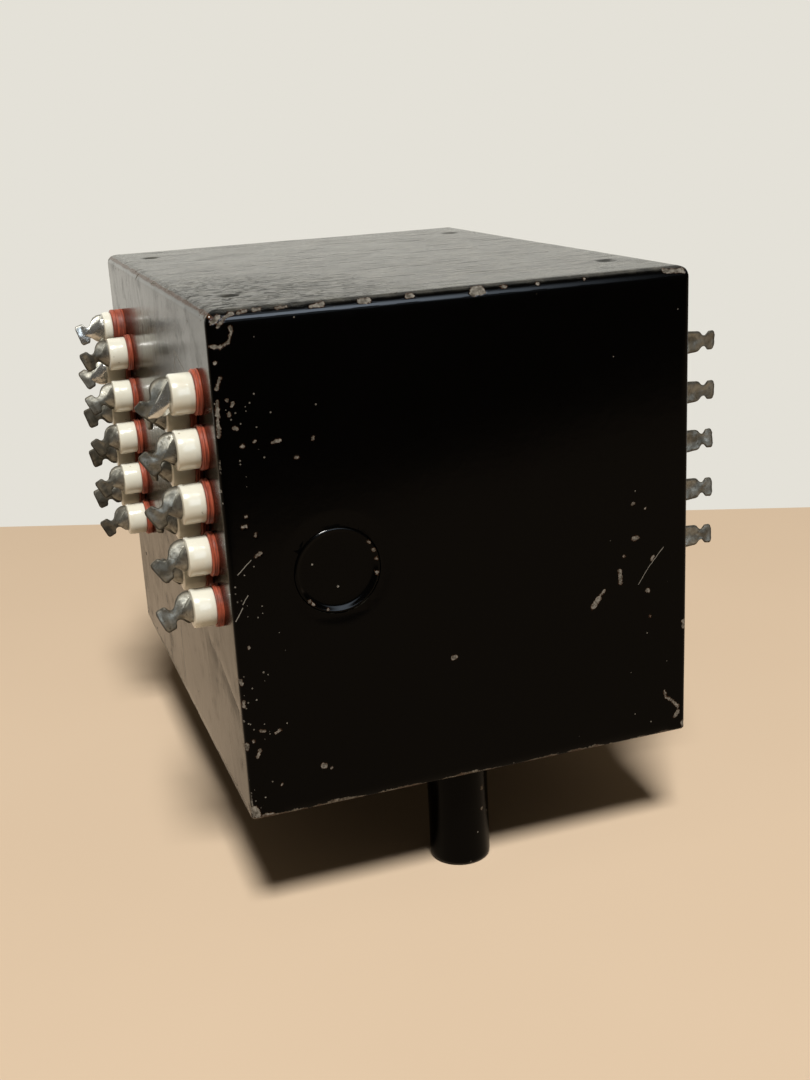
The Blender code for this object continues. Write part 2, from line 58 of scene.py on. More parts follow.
# ---- Can, in millimetres ----
WALL = 1.2
TOP_EDGE_RADIUS = 2.2
TOP_EDGE_SEGMENTS = 8
CORNER_RADIUS = 1.0
CORNER_SEGMENTS = 5
SHARPEST_CORNER = 0.25
RIM_RADIUS = 0.25
FAR = 1e3  # the distance given to a point on another face
GRID_SPACING = 2.0
OUTER_SKIN = 0.9
BUSH_HOLE_RADIUS = 2.5
BUSH_HOLE_SEGMENTS = 24
PLUG_RADIUS = 8.5
PLUG_GAP = 0.04
PLUG_FLANGE_RADIUS = 10.1
PLUG_SEGMENTS = 96
PLUG_DISH = (12.0, 0.22)
# The plug's outside from its middle outwards: distance behind the front face, and radius.
PLUG_PROFILE = (
    (0.52, 0.001), (0.515, 3.0), (0.50, 5.5), (0.48, 6.9), (0.44, 7.3), (0.32, 7.7), (0.16, 7.95),
    (0.10, 8.15), (0.10, 8.3), (0.16, PLUG_RADIUS - 0.08), (0.24, PLUG_RADIUS), (1.5, PLUG_RADIUS),
)
# Chips on the plug's bead: angle in degrees, from the right upwards, and radius.
PLUG_CHIPS = ((36, 0.35), (22, 0.4), (9, 0.32), (-12, 0.36), (222, 0.4), (229, 0.3), (252, 0.25))
PLUG_BEAD = 0.5
DIMPLE_PLACES = [(8.5 + 80 * i, 19.5 + 90 * j) for i in (0, 1) for j in (0, 1)]
DIMPLE = (2.4, 0.5)
WAVES = ((34.0, 0.07, 3.1), (11.0, 0.018, 4.1))
TOP_RIPPLE = (5.0, 0.03, (0.5, 1.3, 1.0))
CHIP_DEPTH = 0.05
CHIP_SPREAD = 0.95
CHIP_FADE = 0.7
CHIP_WARPS = ((0.22, 0.9, 5.0), (0.12, 0.4, 9.0))
CHIPS_PER_FACE = 16
CORNER_REACH = (0.2, 2.0)
TOP_REACH = (0.6, 1.6)
SEAM_SIZE = (1.25, 0.8)
SEAM_SPACING = 2.5
SEAM_STEPS = 6
SEAM_SWELL = (0.35, 4.0)
SEAM_OVERLAP = 0.2
EDGE_WEAR_REACH = 1.5
TOP_WEAR_REACH = 2.8

# Chips through the enamel: face, start and end of each along the face, and radius. Front: x and z.
FRONT_CHIPS = (
    # along the top edge
    (19.5, 99.1, 21.8, 99.3, 0.35), (28.9, 99.1, 30.4, 99.2, 0.5), (38.0, 99.2, 39.0, 99.3, 0.35),
    (51.0, 98.9, 52.6, 99.0, 0.8), (56.9, 99.2, 57.7, 99.3, 0.3), (64.1, 99.3, 64.3, 99.1, 0.28),
    (74.0, 99.4, 74.1, 99.2, 0.22), (91.5, 99.3, 95.5, 99.0, 0.4), (1.2, 98.0, 2.4, 98.9, 0.45),
    (2.2, 97.2, 3.2, 98.3, 0.25), (3.6, 98.7, 5.0, 99.2, 0.35), (6.0, 99.2, 7.6, 99.4, 0.22),
    (9.0, 99.4, 10.2, 99.5, 0.25), (13.0, 99.4, 15.0, 99.5, 0.2),
    # the hooked scratch in the top left corner
    (4.4, 97.0, 4.5, 95.9, 0.28), (4.5, 95.9, 3.8, 94.3, 0.2), (3.8, 94.3, 2.2, 93.4, 0.2),
    (2.2, 93.6, 0.6, 93.8, 0.3),
    # down the left edge
    (1.1, 90.9, 1.1, 90.9, 0.3), (1.7, 88.2, 0.9, 86.3, 0.3), (0.8, 83.9, 0.6, 77.5, 0.28),
    (2.6, 83.9, 2.6, 83.9, 0.28), (3.7, 83.3, 3.4, 82.8, 0.3), (2.8, 81.4, 2.8, 81.2, 0.38),
    (3.6, 78.7, 3.9, 78.6, 0.35), (4.8, 75.2, 4.8, 75.2, 0.4), (6.9, 75.8, 7.2, 76.0, 0.2),
    (10.2, 75.2, 11.8, 75.5, 0.25), (14.5, 71.9, 14.9, 71.8, 0.3), (18.0, 75.2, 17.9, 74.7, 0.2),
    (4.2, 61.9, 4.2, 61.9, 0.28), (3.4, 60.0, 3.9, 60.1, 0.35), (5.7, 58.0, 5.7, 58.3, 0.25),
    (5.3, 53.9, 6.3, 54.6, 0.25), (2.5, 36.2, 2.5, 36.2, 0.25), (0.3, 29.6, 0.4, 29.2, 0.4),
    (0.5, 25.4, 0.4, 24.4, 0.3), (3.3, 18.7, 4.1, 18.5, 0.22), (6.2, 17.7, 7.3, 18.1, 0.25),
    (1.6, 16.9, 1.7, 16.8, 0.28), (0.4, 16.2, 0.3, 15.4, 0.35), (2.8, 14.6, 2.2, 13.4, 0.3),
    (6.5, 6.5, 6.6, 6.4, 0.22), (0.6, 2.2, 1.0, 1.1, 0.8), (2.4, 0.5, 4.0, 0.5, 0.35),
    # middle and plug
    (43.6, 26.6, 44.1, 26.5, 0.5), (15.2, 8.8, 15.5, 8.5, 0.5), (16.9, 7.8, 16.9, 7.8, 0.25),
    # the right-hand group
    (84.3, 45.5, 85.1, 45.5, 0.5), (82.1, 41.9, 82.1, 41.9, 0.25), (81.2, 38.9, 81.3, 36.2, 0.4),
    (75.0, 32.1, 76.2, 33.7, 0.6), (76.4, 34.0, 77.6, 35.3, 0.3), (87.6, 33.6, 87.8, 33.5, 0.5),
    (88.9, 40.8, 88.6, 40.2, 0.33), (88.3, 27.8, 88.3, 27.8, 0.25), (84.2, 52.8, 84.4, 52.9, 0.33),
    (87.0, 51.5, 87.0, 51.5, 0.2), (96.3, 25.2, 96.3, 23.9, 0.5), (91.8, 9.8, 92.2, 8.2, 0.25),
    (92.2, 8.2, 93.8, 7.3, 0.25), (93.8, 7.2, 95.2, 5.5, 0.28), (94.4, 3.4, 95.2, 4.4, 0.45),
    (96.3, 1.6, 96.5, 0.9, 0.5),
)
# Fine scratches on the front: start, end and width.
FRONT_SCRATCHES = (
    ((4.4, 53.5), (1.6, 50.9), 0.16),
    ((3.2, 46.7), (2.0, 45.0), 0.16),
    ((2.0, 44.4), (0.4, 41.8), 0.18),
    ((91.3, 42.6), (87.8, 38.6), 0.14),
    ((87.8, 38.6), (85.4, 35.2), 0.12),
)
# The left face's marks, in y and z: start, end and width.
LEFT_SCRATCHES = (
    ((36.3, 88.1), (38.3, 80.6), 0.5),
    ((36.3, 88.1), (25.9, 85.3), 0.35),
    ((68.0, 17.0), (68.5, 4.0), 0.4),
)
# The bend low on the left face, from the front edge backwards.
LEFT_CREASE = ((3.0, 21.4), (18.5, 25.5), (30.0, 27.8))
CREASE_WIDTH = 1.4
CREASE_DEPTH = 0.22
LEFT_CRACKS = (
    ((4.0, 21.8), (11.0, 23.8), 0.55),
    ((11.0, 23.8), (18.0, 25.9), 0.8),
    ((18.0, 25.9), (24.0, 27.0), 0.35),
)

# ---- Terminals, in millimetres from the wall outwards ----
TERMINAL_COLUMNS = {
    "left_front_outer": (-1, 5),
    "left_front_inner": (-1, 4),
    "left_rear_inner": (-1, 5),
    "left_rear_outer": (-1, 5),
    "right_front": (1, 5),
}
CERAMIC_RADIUS = 3.9
CERAMIC_BORE = 2.3
CERAMIC_NECK = (-3.2, 2.2)
# The ceramic's rounded ends: distance from its end and from its full radius.
CERAMIC_START = ((0.0, 0.3), (0.1, 0.1), (0.3, 0.0))
CERAMIC_END = ((0.35, 0.0), (0.12, 0.1), (0.0, 0.38))
WASHER_RADIUS = 4.4
WASHER_BORE = 2.3
WASHER_LAYERS = 3
BUSH_SEGMENTS = 48
LUG_THICKNESS = 0.55
LUG_STATIONS = 36
LUG_NECK = 3.4
# Where a lug's points lie across it, as shares of its half-width.
LUG_ACROSS = (-1.0, -0.93, -0.75, -0.5, -0.25, -0.08, 0.08, 0.25, 0.5, 0.75, 0.93, 1.0)
SOLDER_RINGS = 16
SOLDER_SEGMENTS = 32
SHINY_SOLDER = (5.2, 3.2)
DULL_SOLDER = ((2.6, 3.2), (2.4, 2.8))
# Half-width of a lug at distances from the bush's end, on a tall bush and on a short one.
TALL_LUG = (
    (-0.5, 2.8), (0.0, 3.3), (0.9, 3.25), (1.6, 2.95), (2.2, 2.3), (2.6, 1.65), (3.0, 1.3), (3.4, 1.2),
    (3.7, 1.25), (4.0, 1.6), (4.2, 2.2), (4.5, 2.5), (6.0, 2.5), (6.35, 2.3), (6.5, 1.8),
)
SHORT_LUG = (
    (-0.5, 2.4), (0.0, 2.6), (1.4, 2.4), (4.3, 2.2), (4.8, 2.0), (5.3, 1.4), (5.7, 1.15), (6.2, 1.15),
    (6.6, 1.6), (6.9, 2.0), (7.9, 2.05), (8.2, 1.8), (8.35, 1.2),
)
# Kinds of bush: where the washer and the ceramic end, and the lug's outline.
TALL_BUSH = (1.3, 5.7, TALL_LUG)
SHORT_BUSH = (1.2, 3.6, SHORT_LUG)
PATCHED_BUSH = (3.1, 5.2, TALL_LUG)
SHINY_LUGS = ("left_front_outer_1", "left_rear_outer_1", "left_rear_outer_2")
# How each lug of the front outer column is bent: droop, twist and sideways turn in degrees, and how
# deep its fold is.
FRONT_OUTER_BENDS = (
    (46, 8, -4, 1.3),
    (34, 4, 4, 1.5),
    (33, 3, 2, 1.4),
    (34, -5, 3, 1.4),
    (25, -8, 6, 1.3),
)


# ---- Node trees ----
class Graph:
    """A node tree, with one method for each kind of node that is used below."""

    def __init__(self, tree):
        self.tree = tree

    def feed(self, socket, value):
        if isinstance(value, bpy.types.NodeSocket):
            self.tree.links.new(value, socket)
        else:
            socket.default_value = (*value, 1.0) if socket.type == "RGBA" else value

    def node(self, kind, sockets=None, **settings):
        made = self.tree.nodes.new(kind)
        for key, value in settings.items():
            setattr(made, key, value)
        for key, value in (sockets or {}).items():
            self.feed(made.inputs[key], value)
        return made

    def math(self, operation, *values):
        return self.node("ShaderNodeMath", dict(enumerate(values)), operation=operation).outputs[0]

    def mul(self, first, second):
        return self.math("MULTIPLY", first, second)

    def add(self, first, second):
        return self.math("ADD", first, second)

    def most(self, first, second):
        return self.math("MAXIMUM", first, second)

    def line(self, value, slope, shift):
        return self.math("MULTIPLY_ADD", value, slope, shift)

    def vector(self, operation, output, first, second):
        made = self.node("ShaderNodeVectorMath", {0: first, 1: second}, operation=operation)
        return made.outputs[output]

    def step(self, value, low, high):
        """A smooth step from 0 at low to 1 at high."""
        sockets = {"Value": value, "From Min": low, "From Max": high}
        return self.node("ShaderNodeMapRange", sockets, interpolation_type="SMOOTHSTEP").outputs[0]

    def spread(self, value, low, high):
        """A 0 to 1 value moved to low to high."""
        return self.node("ShaderNodeMapRange", {"Value": value, "To Min": low, "To Max": high}).outputs[0]

    def tint(self, factor, first, second, blend="MIX"):
        sockets = {"Factor": factor, 6: first, 7: second}
        return self.node("ShaderNodeMix", sockets, data_type="RGBA", blend_type=blend).outputs[2]

    def either(self, factor, first, second):
        return self.node("ShaderNodeMix", {"Factor": factor, 2: first, 3: second}).outputs[0]

    def attribute(self, name):
        return self.node("ShaderNodeAttribute", attribute_name=name).outputs["Fac"]

    def axes(self, vector):
        return self.node("ShaderNodeSeparateXYZ", {0: vector}).outputs


class Surface(Graph):
    """A material's node tree, with its shader and its textures, which lie in the object's own frame."""

    def __init__(self, name, roughness=0.5, metallic=0.0, ior=1.5):
        self.material = bpy.data.materials.new(name)
        self.material.use_nodes = True
        super().__init__(self.material.node_tree)
        self.shader = self.tree.nodes["Principled BSDF"]
        self.set("Roughness", roughness)
        self.set("Metallic", metallic)
        self.set("IOR", ior)
        self.place = self.node("ShaderNodeTexCoord").outputs["Object"]
        self.normal = self.axes(self.node("ShaderNodeNewGeometry").outputs["Normal"])

    def set(self, name, value):
        self.feed(self.shader.inputs[name], value)

    def scaled(self, factors, turn=(0, 0, 0)):
        turn = [radians(angle) for angle in turn]
        sockets = {"Vector": self.place, "Scale": factors, "Rotation": turn}
        return self.node("ShaderNodeMapping", sockets).outputs[0]

    def noise(self, scale, detail=3.0, roughness=0.5, distortion=0.0, place=None):
        sockets = {"Vector": place or self.place, "Scale": scale, "Detail": detail}
        sockets |= {"Roughness": roughness, "Distortion": distortion}
        return self.node("ShaderNodeTexNoise", sockets).outputs["Fac"]

    def cells(self, scale):
        """Voronoi cells: (distance to the middle, two random numbers for each cell)."""
        made = self.node("ShaderNodeTexVoronoi", {"Vector": self.place, "Scale": scale})
        split = self.node("ShaderNodeSeparateColor", {0: made.outputs["Color"]})
        return made.outputs["Distance"], split.outputs[0], split.outputs[1]

    def specks(self, scale, share, inner, outer):
        """1 in small round specks, which a share of the cells hold."""
        distance, chance, _ = self.cells(scale)
        return self.mul(self.math("LESS_THAN", chance, share), self.step(distance, outer, inner))

    def bump(self, height, distance, below=None):
        sockets = {"Height": height, "Distance": distance * MM, "Strength": 1.0}
        if below is not None:
            sockets["Normal"] = below
        return self.node("ShaderNodeBump", sockets).outputs["Normal"]


STROKE_WOBBLE = 0.4
STROKE_FADE = (0.6, 0.3)
STROKE_DEPTH = 1.0


def stroke(g, start, end, width, facing):
    """1 along a straight scratch between two points on a flat face, 0 elsewhere."""
    along = end - start
    length = along.length
    along.normalize()
    away = g.vector("SUBTRACT", 0, g.place, start)
    ways = (along, along.cross(facing), facing)
    run, off, depth = (g.vector("DOT_PRODUCT", 1, away, way) for way in ways)
    wobble = g.line(g.noise(900.0), STROKE_WOBBLE * MM, -0.5 * STROKE_WOBBLE * MM)
    off = g.math("ABSOLUTE", g.add(off, wobble))
    on_line = g.step(off, *(width * share * MM for share in STROKE_FADE))
    in_run = g.math("COMPARE", run, length / 2, length / 2)
    return g.mul(on_line, g.mul(in_run, g.math("COMPARE", depth, 0.0, STROKE_DEPTH * MM)))


def strokes(g, table):
    """1 on any of a list of strokes."""
    found = 0.0
    for row in table:
        found = g.most(found, stroke(g, *row))
    return found


def on_front(x, z):
    return Vector((CAN_LOW.x + x * MM, CAN_LOW.y, CAN_LOW.z + z * MM))


def on_left(y, z):
    return Vector((CAN_LOW.x, CAN_LOW.y + y * MM, CAN_LOW.z + z * MM))


# ---- Materials ----
# Colours are linear; pairs are a light and a dark tone, or the two ends of a soft change.
BLACK = (0.0008, 0.0007, 0.0006)
DUSTY = (0.050, 0.046, 0.036)
BARE_LIGHT = (0.23, 0.215, 0.19)
BARE_DARK = (0.055, 0.048, 0.038)
RUST = (0.050, 0.022, 0.010)
CERAMIC_TONES = ((0.65, 0.635, 0.54), (0.71, 0.70, 0.61))
CERAMIC_STAIN = (0.58, 0.50, 0.36)
CERAMIC_GRIME = (0.20, 0.15, 0.09)
FIBRE_TONES = ((0.15, 0.028, 0.014), (0.36, 0.075, 0.036))
FIBRE_DIRT = (0.075, 0.022, 0.012)
LUG_TONES = ((0.23, 0.225, 0.195), (0.085, 0.080, 0.065))
SOLDER_TONES = ((0.66, 0.66, 0.63), (0.36, 0.35, 0.31))
DULL_SOLDER_TONES = ((0.30, 0.295, 0.26), (0.13, 0.12, 0.10))
# Dark tone for oxide patches, and also painted shade along the lugs' rims.
OXIDE_AND_RIM_SHADE = (0.045, 0.036, 0.024)
STEEL_TONES = ((0.58, 0.58, 0.56), (0.40, 0.38, 0.34))
BRASS_TONES = ((0.72, 0.55, 0.27), (0.46, 0.31, 0.13))
ALUMINIUM_TONES = ((0.80, 0.81, 0.82), (0.60, 0.60, 0.59))
STEATITE_TONES = ((0.76, 0.73, 0.65), (0.86, 0.84, 0.78))
STEATITE_PORE = (0.42, 0.38, 0.31)
TABLE_TONES = ((0.60, 0.465, 0.335), (0.64, 0.50, 0.365))

ENAMEL_IOR = 1.14
ENAMEL_SHINE = 0.5
DULL_SHINE = 0.04
BARE_ROUGHNESS = 0.55
CHIP_EDGE = (0.47, 0.53)
RUST_EDGE = (0.30, 0.47)
SPECK_CELLS = 1050.0
SPECK_SIZES = (0.10, 0.34)
EDGE_COAT = 0.9
PLUG_COAT = 0.3
COAT_ROUGHNESS = 0.10
COATED_SLOPE = (0.10, 0.20)
COATED_FACING = (-0.35, -0.70)
TOP_BUMP = 0.17
FLANK_BUMP = 0.03
FLANK_SHINE = 0.8


def bare_places(g, fine, broad):
    """Where the enamel is gone, the rusty rims of the chips, and the chips that follow the edges."""
    edge = g.attribute("edge")
    ragged = g.add(g.attribute("bare"), g.line(fine, 1.3, -0.67))
    worn_edge = g.add(g.mul(edge, 0.5), g.line(broad, 1.1, -0.35))
    worn_edge = g.add(worn_edge, g.line(fine, 0.16, -0.08))
    edge_chip = g.mul(g.step(worn_edge, 0.70, 0.74), g.step(edge, 0.3, 0.55))
    distance, chance, size = g.cells(SPECK_CELLS)
    allowed = g.mul(g.attribute("wear"), g.step(g.noise(90.0, 2.0), 0.42, 0.60))
    inside = g.math("LESS_THAN", distance, g.spread(size, *SPECK_SIZES))
    speck = g.mul(g.math("LESS_THAN", chance, allowed), inside)
    mask = g.most(g.most(g.step(ragged, *CHIP_EDGE), edge_chip), speck)
    return mask, g.step(ragged, *RUST_EDGE), edge_chip


def enamel_color(g, mask, rim, edge_chip, line):
    """Black paint, dusty on top and rusty round its chips, over bare grey metal."""
    dust = g.mul(g.step(g.normal[2], 0.6, 1.0), g.step(g.noise(260.0, 5.0, 0.7), 0.40, 0.70))
    paint = g.tint(g.mul(dust, 0.8), BLACK, DUSTY)
    paint = g.tint(g.mul(rim, 0.8), paint, RUST)
    paint = g.tint(line, paint, RUST)
    metal = g.tint(g.step(g.noise(1100.0, 4.0, 0.7), 0.35, 0.7), BARE_DARK, BARE_LIGHT)
    rusty_edge = g.tint(g.step(g.noise(300.0), 0.4, 0.6), RUST, metal)
    metal = g.tint(g.mul(edge_chip, 0.6), metal, rusty_edge)
    return g.tint(mask, paint, metal)


def brushed_enamel(g, gloss, shine, surface):
    """The brush marks, wrinkles and pits of the top and the scuffs of the left side."""
    up = g.step(g.normal[2], 0.5, 0.95)
    flank = g.step(g.normal[0], -0.8, -1.0)
    patches = g.noise(1.0, 5.0, 0.7, 0.9, g.scaled((75.0, 75.0, 38.0), (12, 0, 0)))
    scuffs = g.mul(flank, g.step(patches, 0.42, 0.72))
    worn = g.add(g.step(g.normal[2], 0.7, 1.0), scuffs)
    gloss = g.add(gloss, g.mul(worn, 0.08))
    streaks = g.noise(1.0, 5.0, 0.6, 0.8, g.scaled((70.0, 620.0, 200.0), (0, 0, 8)))
    strands = g.noise(1.0, 4.0, 0.7, 1.6, g.scaled((300.0, 980.0, 300.0), (0, 0, -24)))
    grit = g.noise(1500.0, 4.0, 0.7)
    corner = g.attribute("ripple")
    ridges = g.mul(g.step(strands, 0.50, 0.60), g.math("POWER", corner, 2.0))
    height = g.add(g.mul(streaks, 0.8), g.mul(ridges, 0.8))
    height = g.add(height, g.mul(grit, 0.35))
    surface = g.bump(g.mul(height, up), TOP_BUMP, below=surface)
    surface = g.bump(scuffs, FLANK_BUMP, below=surface)
    lines = g.mul(g.step(strands, 0.50, 0.62), g.line(corner, 0.62, -0.05))
    smears = g.mul(g.step(streaks, 0.52, 0.72), 0.22)
    pits = g.mul(g.step(grit, 0.60, 0.68), 0.35)
    dull = g.mul(g.most(g.most(lines, smears), pits), up)
    stain = g.mul(g.mul(flank, g.step(g.noise(120.0, 5.0, 0.7), 0.5, 0.75)), 0.20)
    dull = g.most(dull, stain)
    gloss = g.add(gloss, g.mul(dull, 0.7))
    shine = g.mul(shine, g.math("SUBTRACT", 1.0, dull))
    shine = g.mul(shine, g.line(flank, FLANK_SHINE, 1.0))
    return gloss, shine, surface


def enamel_material(name, scratches=(), cracks=(), brushed=False):
    """Glossy black stove enamel, chipped through to grey metal where the mesh and its edges say so."""
    g = Surface(name, ior=ENAMEL_IOR)
    fine = g.noise(2300.0, 5.0, 0.75)
    broad = g.noise(130.0, 5.0, 0.65)
    mask, rim, edge_chip = bare_places(g, fine, broad)
    line = g.add(g.attribute("line"), g.line(broad, 1.4, -0.70))
    line = g.step(line, 0.45, 0.65)
    color = enamel_color(g, mask, rim, edge_chip, line)
    if scratches:
        scratched = strokes(g, scratches)
        color = g.tint(g.mul(scratched, 0.85), color, BARE_LIGHT)
        mask = g.most(mask, g.mul(scratched, 0.7))
    gloss = g.spread(g.noise(55.0, 4.0, 0.6, 1.0), 0.10, 0.20)
    dulled = g.most(strokes(g, cracks), g.mul(line, 0.8))
    shine = g.either(dulled, ENAMEL_SHINE, DULL_SHINE)
    surface = g.bump(g.noise(420.0, 2.0), 0.012)
    if brushed:
        gloss, shine, surface = brushed_enamel(g, gloss, shine, surface)
    g.set("Base Color", color)
    g.set("Specular IOR Level", shine)
    g.set("Roughness", g.either(mask, gloss, BARE_ROUGHNESS))
    coat = EDGE_COAT if brushed else PLUG_COAT
    tilted = g.mul(g.step(g.normal[2], *COATED_SLOPE), g.step(g.normal[1], *COATED_FACING))
    g.set("Coat Weight", g.mul(tilted, g.line(mask, -coat, coat)))
    g.set("Coat Roughness", COAT_ROUGHNESS)
    surface = g.bump(g.mul(mask, -1.0), 0.05, below=surface)
    surface = g.bump(g.mul(mask, fine), 0.06, below=surface)
    g.set("Normal", surface)
    return g.material


def ceramic_material():
    """Cream glazed ceramic, with stains, grime and pinholes."""
    g = Surface("cream_glazed_ceramic")
    body = g.tint(g.noise(60.0), *CERAMIC_TONES)
    stain = g.step(g.noise(190.0, 4.0, 0.6), 0.50, 0.78)
    body = g.tint(g.mul(stain, 0.35), body, CERAMIC_STAIN)
    grime = g.step(g.noise(420.0, 4.0, 0.7), 0.66, 0.74)
    grime = g.most(g.specks(900.0, 0.035, 0.14, 0.26), grime)
    g.set("Base Color", g.tint(g.mul(grime, 0.55), body, CERAMIC_GRIME))
    g.set("Roughness", g.spread(g.noise(150.0), 0.16, 0.34))
    turned_marks = g.noise(1.0, place=g.scaled((1500.0, 120.0, 120.0)))
    g.set("Normal", g.bump(turned_marks, 0.02, below=g.bump(g.noise(500.0), 0.015)))
    g.set("Coat Weight", 0.35)
    g.set("Coat Roughness", 0.08)
    return g.material


def fibre_material():
    """Red vulcanised fibre in layers, darker where it has soaked up dirt."""
    g = Surface("red_fibre", ior=1.45)
    layers = g.noise(1.0, 3.0, 0.6, 0.3, g.scaled((2600.0, 160.0, 160.0)))
    tone = g.tint(g.step(layers, 0.35, 0.65), *FIBRE_TONES)
    dirty = g.step(g.noise(260.0, 4.0, 0.65), 0.52, 0.72)
    g.set("Base Color", g.tint(g.mul(dirty, 0.6), tone, FIBRE_DIRT))
    g.set("Roughness", g.spread(g.noise(700.0), 0.42, 0.68))
    g.set("Normal", g.bump(layers, 0.08, below=g.bump(g.noise(1500.0, 4.0, 0.6), 0.03)))
    return g.material


def tinned_material(name, tones, gloss):
    """Dull tinned metal, brighter where it is rubbed, with dark oxide in its hollows and painted shade as
    a dark outline round its rim.
    """
    light, dark = tones
    g = Surface(name, metallic=0.85)
    cloud = g.noise(330.0, 5.0, 0.65, 0.6)
    tone = g.tint(g.step(cloud, 0.32, 0.68), dark, light)
    oxide_and_rim_shade = g.step(g.noise(760.0, 4.0, 0.7), 0.56, 0.70)
    # Painted shade: the rim that the mesh marks is darkened like a shaded outline, on top of the oxide
    # patches.
    oxide_and_rim_shade = g.most(oxide_and_rim_shade, g.mul(g.attribute("rim"), g.step(cloud, 0.30, 0.50)))
    g.set("Base Color", g.tint(g.mul(oxide_and_rim_shade, 0.8), tone, OXIDE_AND_RIM_SHADE))
    g.set("Roughness", g.either(oxide_and_rim_shade, g.spread(cloud, gloss + 0.22, gloss), 0.6))
    g.set("Normal", g.bump(g.noise(2400.0), 0.02, below=g.bump(g.noise(520.0, 4.0, 0.55), 0.10)))
    return g.material


def turned_metal_material(name, tones, gloss):
    """Machined or rolled metal: a fine directional grain, a faint tarnish and a few dark specks."""
    light, dark = tones
    g = Surface(name, metallic=1.0)
    tarnish = g.noise(90.0, 5.0, 0.6, 0.5)
    tone = g.tint(g.step(tarnish, 0.35, 0.75), light, dark)
    speck = g.specks(500.0, 0.04, 0.15, 0.3)
    g.set("Base Color", g.tint(g.mul(speck, 0.7), tone, tuple(0.3 * value for value in dark)))
    g.set("Roughness", g.spread(tarnish, gloss, gloss + 0.2))
    g.set("Normal", g.bump(g.noise(1.0, 4.0, 0.6, 0.0, g.scaled((1200.0, 1200.0, 60.0))), 0.02))
    return g.material


def steatite_material():
    """Unglazed off-white ceramic with fine pores."""
    g = Surface("steatite")
    pores = g.step(g.noise(1800.0, 3.0, 0.6), 0.62, 0.70)
    tone = g.tint(g.noise(120.0, 4.0), *STEATITE_TONES)
    g.set("Base Color", g.tint(g.mul(pores, 0.4), tone, STEATITE_PORE))
    g.set("Roughness", g.spread(g.noise(300.0), 0.40, 0.60))
    g.set("Normal", g.bump(pores, 0.03))
    return g.material


def table_material():
    """A plain pale table top."""
    g = Surface("pale_table", roughness=0.9)
    g.set("Specular IOR Level", 0.0)
    g.set("Base Color", g.tint(g.noise(9.0), *TABLE_TONES))
    return g.material


def marks(table, placed, facing):
    return [(placed(*start), placed(*end), width, Vector(facing)) for start, end, width in table]


MATERIALS = {
    "can": enamel_material(
        "black_can_enamel",
        marks(FRONT_SCRATCHES, on_front, (0, -1, 0)) + marks(LEFT_SCRATCHES, on_left, (-1, 0, 0)),
        marks(LEFT_CRACKS, on_left, (-1, 0, 0)),
        brushed=True,
    ),
    "enamel": enamel_material("black_enamel"),
    "ceramic": ceramic_material(),
    "fibre": fibre_material(),
    "lug": tinned_material("tinned_lug", LUG_TONES, 0.34),
    "solder": tinned_material("solder", SOLDER_TONES, 0.10),
    "dull_solder": tinned_material("dull_solder", DULL_SOLDER_TONES, 0.30),
    "steel": turned_metal_material("plated_steel", STEEL_TONES, 0.28),
    "brass": turned_metal_material("brass", BRASS_TONES, 0.25),
    "aluminium": turned_metal_material("aluminium", ALUMINIUM_TONES, 0.30),
    "steatite": steatite_material(),
}


# ---- Mesh helpers ----
def finish_mesh(name, bm, material, sharp=40.0):
    bmesh.ops.recalc_face_normals(bm, faces=bm.faces)
    mesh = bpy.data.meshes.new(name)
    bm.to_mesh(mesh)
    bm.free()
    mesh.materials.append(material)
    mesh.shade_smooth()
    mesh.set_sharp_from_angle(angle=radians(sharp))
    return mesh


def linked(name, data):
    obj = bpy.data.objects.new(name, data)
    bpy.context.scene.collection.objects.link(obj)
    return obj


def piece(name, mesh, body, slot=None, replaces=()):
    """A shown piece: it rides on a CAD body and may stand for CAD nodes."""
    obj = linked(name, mesh)
    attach(obj, body)
    if replaces:
        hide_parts(*replaces)


def loft(bm, loops, caps=True):
    """Joins rings of equally many points, in order, and closes both ends."""
    rings = [[bm.verts.new(point) for point in loop] for loop in loops]
    for first, second in zip(rings, rings[1:]):
        for i in range(len(first)):
            j = (i + 1) % len(first)
            bm.faces.new((first[i], first[j], second[j], second[i]))
    if caps:
        bm.faces.new(list(reversed(rings[0])))
        bm.faces.new(rings[-1])


def turned_mesh(name, profile, segments, material, shape=None, sharp=40.0, place=Matrix()):
    """A closed body from (distance along +Z, radius) pairs, turned about Z."""
    loops = []
    for along, radius in profile:
        ring = []
        for i in range(segments):
            angle = 2 * pi * i / segments
            point = Vector((radius * cos(angle) * MM, radius * sin(angle) * MM, along * MM))
            ring.append(shape(point) if shape else point)
        loops.append(ring)
    bm = bmesh.new()
    loft(bm, loops)
    bmesh.ops.transform(bm, matrix=place, verts=bm.verts)
    return finish_mesh(name, bm, material, sharp)


def smoothed(value):
    value = np.clip(value, 0.0, 1.0)
    return value * value * (3 - 2 * value)


def noise_field(points, size, shift=0.0):
    """Smooth noise at points in millimetres, with features of the given size."""
    offset = Vector((shift, shift * 1.7, shift * 0.6))
    return np.array([noise.noise(Vector(point) / size + offset) for point in points])


def vertex_values(mesh, name):
    values = np.zeros(len(mesh.vertices) * 3, np.float32)
    mesh.vertices.foreach_get(name, values)
    return values.reshape(-1, 3).astype(float)


def chipped(outside):
    """1 inside a chip and 0 well past it, from the distance in millimetres outside its outline."""
    return np.clip(0.5 - outside / CHIP_FADE, 0.0, 1.0)


def store(mesh, name, values):
    layer = mesh.attributes.new(name, "FLOAT", "POINT")
    layer.data.foreach_set("value", values.astype(np.float32))


